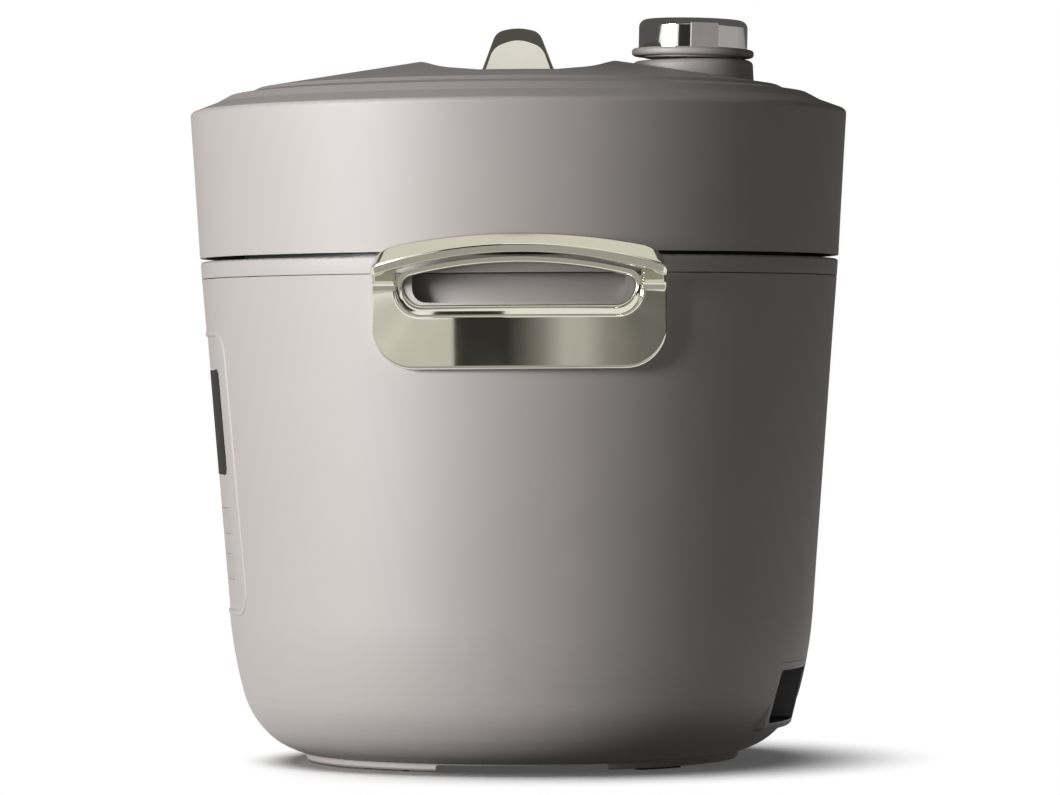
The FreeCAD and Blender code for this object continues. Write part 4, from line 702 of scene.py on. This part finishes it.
# Lip round the finger opening, from the middle of its foot to the middle of its arched top
SLOT_HALF = 48.8
SLOT_Z0 = 199.6
SLOT_ROUND = 8.5
SLOT_TOP_Z = 217.0
SLOT_TOP_ROUND = 4.5
LIP_HALF = 51.0
LIP_Z0 = 195.7
LIP_ROUND = 10.7
LIP_TOP_Z = 219.9
LIP_TOP_ROUND = 6.7
LIP_ARCH = 195.0
LIP_LOW = 0.15
LIP_HIGH = 2.75
LIP_WALL = 0.3          # upright stretch at the opening
LIP_START = 0.4         # height at which the rounding begins
LIP_SWEEP = 72.0
LIP_SWEEP_STEPS = 8
OPENING_STEPS = 12


def opening_path(half, z0, foot_round, top, top_round):
    """Points (y, z) of half an opening: foot, foot corner, top corner, arched top."""
    foot_y, foot_z = half - foot_round, z0 + foot_round
    path = [(foot_y * k / OPENING_STEPS, z0) for k in range(OPENING_STEPS)]
    for k in range(OPENING_STEPS + 1):
        angle = math.radians(90.0 * k / OPENING_STEPS)
        path.append((foot_y + foot_round * math.sin(angle), foot_z - foot_round * math.cos(angle)))
    arch_z = top - LIP_ARCH
    inset = half - top_round
    corner_z = arch_z + math.sqrt((LIP_ARCH - top_round) ** 2 - inset ** 2)
    slope = math.asin(inset / (LIP_ARCH - top_round))
    for k in range(OPENING_STEPS + 1):
        angle = (math.pi / 2 - slope) * k / OPENING_STEPS
        path.append((inset + top_round * math.cos(angle), corner_z + top_round * math.sin(angle)))
    for k in range(1, OPENING_STEPS + 1):
        angle = slope * (1 - k / OPENING_STEPS)
        path.append((LIP_ARCH * math.sin(angle), arch_z + LIP_ARCH * math.cos(angle)))
    return path


def lip_rib(inner, outer):
    """Section of the lip: rounded towards the opening, high at the plate."""
    first, last = on_drum(*inner, LIP_LOW), on_drum(*outer, LIP_LOW)
    width = (last - first).length
    high = LIP_HIGH - LIP_LOW
    sweep = math.radians(LIP_SWEEP)
    points = [(0.0, 0.0), (0.0, LIP_WALL)]
    for k in range(LIP_SWEEP_STEPS + 1):
        angle = math.radians(LIP_SWEEP * k / LIP_SWEEP_STEPS)
        points.append((width * (1 - math.cos(angle)) / (1 - math.cos(sweep)),
                       LIP_START + (high - LIP_START) * math.sin(angle) / math.sin(sweep)))
    points.append((width, 0.0))
    return rib(points, first, *section_axes(first, last))


def finger_lip():
    inner = opening_path(SLOT_HALF, SLOT_Z0, SLOT_ROUND, SLOT_TOP_Z, SLOT_TOP_ROUND)
    outer = opening_path(LIP_HALF, LIP_Z0, LIP_ROUND, LIP_TOP_Z, LIP_TOP_ROUND)
    lip = skin("finger_lip_right", [lip_rib(*ends) for ends in zip(inner, outer)])
    both_sides(lip, Y_AXIS)
    close_up(lip)
    return lip


right_lip = finger_lip()
left_lip = half_turn_copy(right_lip, "finger_lip_left")
dress(right_lip, "handle_bezel_right")
dress(left_lip, "handle_bezel_left")


# Lid bar: loaf across the lid whose rounded shoulders end in an upright arched face
LID_BAR_Z0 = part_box("lid_handle")[0].z / MM
LID_BAR_HALF = 47.0
LID_BAR_END = 9.0
LID_BAR_LAST = 70.0       # how far the shoulder turns before it meets the end face, in degrees
LID_BAR_FOOT_ROUND = 0.4
LID_BAR_SMOOTH = 18.0
LID_BAR_STEPS = 4
LID_BAR_END_STEPS = 12
LOAF = {"foot": 16.6, "top_half": 9.4, "shoulder": 19.0, "round": 6.0, "top": 20.95, "crown": 22.0}
ARCH = {"foot": 14.8, "top_half": 10.6, "shoulder": 11.8, "round": 8.0, "top": 15.6, "crown": 14.0}


def lid_bar_rib(x, drop):
    """Section of the bar on its way from the loaf, at 0, to the end face's arch, at 1."""
    size = {key: LOAF[key] + (ARCH[key] - LOAF[key]) * drop for key in LOAF}
    corners = [(size["foot"], 0.0, LID_BAR_FOOT_ROUND), (size["top_half"], size["shoulder"], size["round"]),
               (0.0, size["top"], size["crown"]), (-size["top_half"], size["shoulder"], size["round"]),
               (-size["foot"], 0.0, LID_BAR_FOOT_ROUND)]
    return rib(rounded(corners), Vector((x, 0.0, LID_BAR_Z0)), ACROSS, UP)


def lid_bar():
    straight = LID_BAR_HALF - LID_BAR_END
    last = math.radians(LID_BAR_LAST)
    ribs = [lid_bar_rib(straight * k / LID_BAR_STEPS, 0.0) for k in range(LID_BAR_STEPS + 1)]
    for k in range(1, LID_BAR_END_STEPS + 1):
        angle = last * k / LID_BAR_END_STEPS
        ribs.append(lid_bar_rib(straight + LID_BAR_END * math.sin(angle) / math.sin(last),
                                (1 - math.cos(angle)) / (1 - math.cos(last))))
    bar = skin("lid_bar", ribs)
    both_sides(bar, X_AXIS)
    close_up(bar, LID_BAR_SMOOTH)
    return bar


dress(lid_bar(), "lid_handle")


# Rolled edge of the control panel, from the middle of its foot to the middle of its top
PANEL_HALF = 50.0
PANEL_Z0 = 66.8
PANEL_Z1 = 188.9
PANEL_CORNER = 10.0
PANEL_STEPS = 8
ROLL_W = 2.4
ROLL_LOW = -0.3
ROLL_H = 0.75
ROLL_STEPS = 12
# painted highlight: the roll's lacquer is this much lighter than the drum's, so it reads as a bright line
# round the panel
ROLL_PAINTED_HIGHLIGHT = 1.08


def panel_path():
    """Points (y, z) of half the panel's outline, each with the direction that leads off the panel."""
    inset = PANEL_HALF - PANEL_CORNER
    across = [inset * k / PANEL_STEPS for k in range(PANEL_STEPS)]
    path = [((y, PANEL_Z0), (0.0, -1.0)) for y in across]
    for middle, start in ((PANEL_Z0 + PANEL_CORNER, -90.0), (PANEL_Z1 - PANEL_CORNER, 0.0)):
        for k in range(PANEL_STEPS + 1):
            angle = math.radians(start + 90.0 * k / PANEL_STEPS)
            off = (math.cos(angle), math.sin(angle))
            path.append(((inset + PANEL_CORNER * off[0], middle + PANEL_CORNER * off[1]), off))
    return path + [((y, PANEL_Z1), (0.0, 1.0)) for y in reversed(across)]


def roll_rib(place, off):
    """Low half-round on the drum's wall, turned from the handle's side to the front."""
    first, last = (on_drum(place[0] + off[0] * reach, place[1] + off[1] * reach, ROLL_LOW)
                   for reach in (-ROLL_W / 2, ROLL_W / 2))
    across = (last - first).normalized()
    outward = off_drum((first + last) / 2)
    angles = [math.radians(180.0 * k / ROLL_STEPS) for k in range(ROLL_STEPS + 1)]
    points = [(ROLL_W / 2 * (1 - math.cos(angle)), ROLL_H * math.sin(angle)) for angle in angles]
    return [Vector((point.y, -point.x, point.z)) for point in rib(points, first, across, outward)]


def panel_roll():
    roll = skin("panel_roll", [roll_rib(*step) for step in panel_path()])
    both_sides(roll, X_AXIS)
    close_up(roll)
    # Painted highlight: the roll is lacquered lighter than the drum
    roll.data.materials.append(satin_lacquer("satin_lacquer_roll", shade(GREIGE, ROLL_PAINTED_HIGHLIGHT)))
    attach(roll, "body")


panel_roll()


# Stage: floor, cards that the metal mirrors, world and softboxes, in metres
FLOOR_SIZE = 14.0
FLOOR_GREY = (0.86, 0.86, 0.86, 1.0)
FLOOR_GLOW = 0.06
FLOOR_NEAR = 0.112        # how far the lit floor reaches before it fades into the white background
FLOOR_FAR = 0.19          # where it has faded altogether
FLAG_TINT = (1.03, 0.99, 0.93)
AMBIENT = 0.05


def flat_card(name, size, centre, facing):
    """Upright or level card whose face looks along facing."""
    bpy.ops.object.select_all(action="DESELECT")
    bpy.ops.mesh.primitive_plane_add(size=1.0)
    card = bpy.context.object
    card.name = name
    card.scale = (size[0], size[1], 1.0)
    card.rotation_euler = Vector(facing).to_track_quat("Z", "Y").to_euler()
    card.location = centre
    return card


def bare_paint(name):
    """A material without the Principled shader."""
    paint = Paint(name)
    paint.node_tree.nodes.remove(paint.shader)
    return paint


def finish_bare(paint, surface):
    paint.feed(paint.node_tree.nodes["Material Output"].inputs["Surface"], surface)
    return paint.material


def glow(paint, colour, strength):
    return paint.add("ShaderNodeEmission", {}, {"Color": colour, "Strength": strength})[0]


def floor_paint():
    """White floor that keeps the shadow near the object and fades into the background further out."""
    paint = bare_paint("white_floor")
    x, y = paint.split(paint.add("ShaderNodeNewGeometry")[0])[:2]
    radius = (x * x + y * y) ** 0.5
    far = paint.add("ShaderNodeMapRange", {"interpolation_type": "SMOOTHSTEP"},
                    {"Value": radius, "From Min": FLOOR_NEAR, "From Max": FLOOR_FAR})[0]
    lit = paint.add("ShaderNodeBsdfDiffuse", {}, {"Color": FLOOR_GREY})[0]
    lift = glow(paint, WHITE, paint.seen_directly() * FLOOR_GLOW)
    near = paint.add("ShaderNodeAddShader", {}, {0: lit, 1: lift})[0]
    white = glow(paint, WHITE, 1.0)
    faded = paint.add("ShaderNodeMixShader", {}, {0: far * paint.seen_directly(), 1: near, 2: white})[0]
    return finish_bare(paint, faded)


def flag_paint(name, stops):
    """Card whose tone runs from its left edge to its right edge as the object sees it."""
    paint = bare_paint(name)
    x = paint.split(paint.place())[0]
    warm = [(place, tuple(tone * tint for tint in FLAG_TINT) + (1.0,)) for place, tone in stops]
    tones = paint.add("ShaderNodeValToRGB", {"stops": warm}, {0: 0.5 - x})[0]
    return finish_bare(paint, glow(paint, tones, 1.0))


def mirrors_only(card, stops):
    """Only mirrors see the card, and it neither lights nor shades anything else."""
    card.data.materials.append(flag_paint(card.name + "_tone", stops))
    card.visible_camera = False
    card.visible_diffuse = False
    card.visible_shadow = False
    card.visible_volume_scatter = False


def flag(name, first, last, distance, z0, z1, stops):
    """Upright card between two directions round the object, in degrees."""
    ends = [heading(math.radians(turn)) * distance for turn in (first, last)]
    middle = (ends[0] + ends[1]) / 2
    card = flat_card(name, ((ends[1] - ends[0]).length, z1 - z0),
                     (middle.x, middle.y, (z0 + z1) / 2), (-middle.x, -middle.y, 0.0))
    mirrors_only(card, stops)


floor = flat_card("floor", (FLOOR_SIZE, FLOOR_SIZE), (0.0, 0.0, 0.0), UP)
floor.data.materials.append(floor_paint())
floor.visible_diffuse = False

# Upright cards: name, first and last direction, distance, foot, top, and tones from left to right
FLAGS = (
    ("left_table", -75.0, -21.5, 1.0, 0.001, 0.10, [(0.0, 0.62), (1.0, 0.66)]),
    ("left_flag", -21.5, -4.0, 1.1, 0.001, 0.34, [(0.0, 0.028), (1.0, 0.028)]),
    ("left_high_flag", -29.0, -5.0, 1.12, 0.34, 0.60, [(0.0, 0.03), (1.0, 0.03)]),
    ("front_wall", -4.0, 42.0, 1.1, 0.001, 0.34, [
        (0.0, 0.03), (0.12, 0.10), (0.26, 0.25), (0.41, 0.54), (0.55, 0.52), (0.70, 0.30), (1.0, 0.165)]),
    ("right_flag", 42.0, 100.0, 1.3, 0.001, 1.1, [(0.0, 0.165), (0.25, 0.12), (1.0, 0.03)]),
    ("right_high_flag", 44.0, 105.0, 1.2, 0.27, 0.48, [(0.0, 0.42), (1.0, 0.42)]),
    ("back_right_flag", 100.0, 165.0, 1.3, 0.001, 1.1, [(0.0, 0.04), (1.0, 0.06)]),
    ("back_high_flag", 105.0, 165.0, 1.2, 0.27, 0.48, [(0.0, 0.40), (1.0, 0.22)]),
    ("back_left_flag", 165.0, 235.0, 1.3, 0.001, 1.1, [(0.0, 0.06), (1.0, 0.12)]),
)
for row in FLAGS:
    flag(*row)

# Level cards: name, size, centre, facing and tone
LEVEL_CARDS = (
    ("ceiling", (3.0, 3.0), (0.0, 0.0, 1.2), DOWN, 0.80),
    ("apron", (1.1, 1.4), (0.75, 0.0, 0.003), UP, 0.42),
    ("lid_flag", (0.685, 1.0), (-0.2575, 0.0, 0.345), DOWN, 0.10),
)
for name, size, centre, facing, tone in LEVEL_CARDS:
    mirrors_only(flat_card(name, size, centre, facing), [(0.0, tone), (1.0, tone)])


def set_world():
    """White where it is seen directly, and a faint even light on everything else."""
    world = bpy.data.worlds.new("studio")
    scene.world = world
    world.use_nodes = True
    sky = Tree(world.node_tree)
    background = world.node_tree.nodes["Background"]
    sky.feed(background.inputs["Color"], WHITE)
    sky.feed(background.inputs["Strength"], AMBIENT + (1.0 - AMBIENT) * sky.seen_directly())


set_world()


def softbox(name, size, place, aim, watts):
    data = bpy.data.lights.new(name, "AREA")
    data.shape = "RECTANGLE"
    data.size, data.size_y = size
    data.energy = watts
    lamp = bpy.data.objects.new(name, data)
    scene.collection.objects.link(lamp)
    lamp.location = place
    lamp.rotation_euler = (Vector(aim) - Vector(place)).to_track_quat("-Z", "Y").to_euler()
    return lamp


def light_group(name, state):
    """Collection that makes a lamp light the floor alone, or all but the floor."""
    group = bpy.data.collections.new(name)
    group.objects.link(floor)
    group.collection_objects[0].light_linking.link_state = state
    return group


key = softbox("key_softbox", size=(0.95, 0.50), place=(1.02, -1.36, 0.46), aim=(0.0, 0.0, 0.20), watts=40.0)
key.light_linking.receiver_collection = light_group("all_but_floor", "EXCLUDE")
above = softbox("floor_softbox", size=(1.3, 1.3), place=(-0.2, -0.5, 1.35), aim=(0.0, 0.0, 0.0), watts=32.0)
above.light_linking.receiver_collection = light_group("floor_alone", "INCLUDE")

# Camera at the photograph's view: from the handle's side, level with the cooker's middle
CAMERA_PLACE = (2.57, 0.0044, 0.170)
CAMERA_HEADING = 90.0     # this turn and the next two in degrees
CAMERA_DIP = 0.222
CAMERA_ROLL = 0.35
CAMERA_LENS = 197.0       # this length and the next in millimetres
SENSOR_WIDTH = 36.0

camera_data = bpy.data.cameras.new("camera")
camera_data.sensor_width = SENSOR_WIDTH
camera_data.lens = CAMERA_LENS
camera = bpy.data.objects.new("camera", camera_data)
camera.location = CAMERA_PLACE
camera.rotation_euler = [math.radians(turn) for turn in (90.0 - CAMERA_DIP, CAMERA_ROLL, CAMERA_HEADING)]
scene.collection.objects.link(camera)
scene.camera = camera
scene.view_settings.view_transform = "Standard"
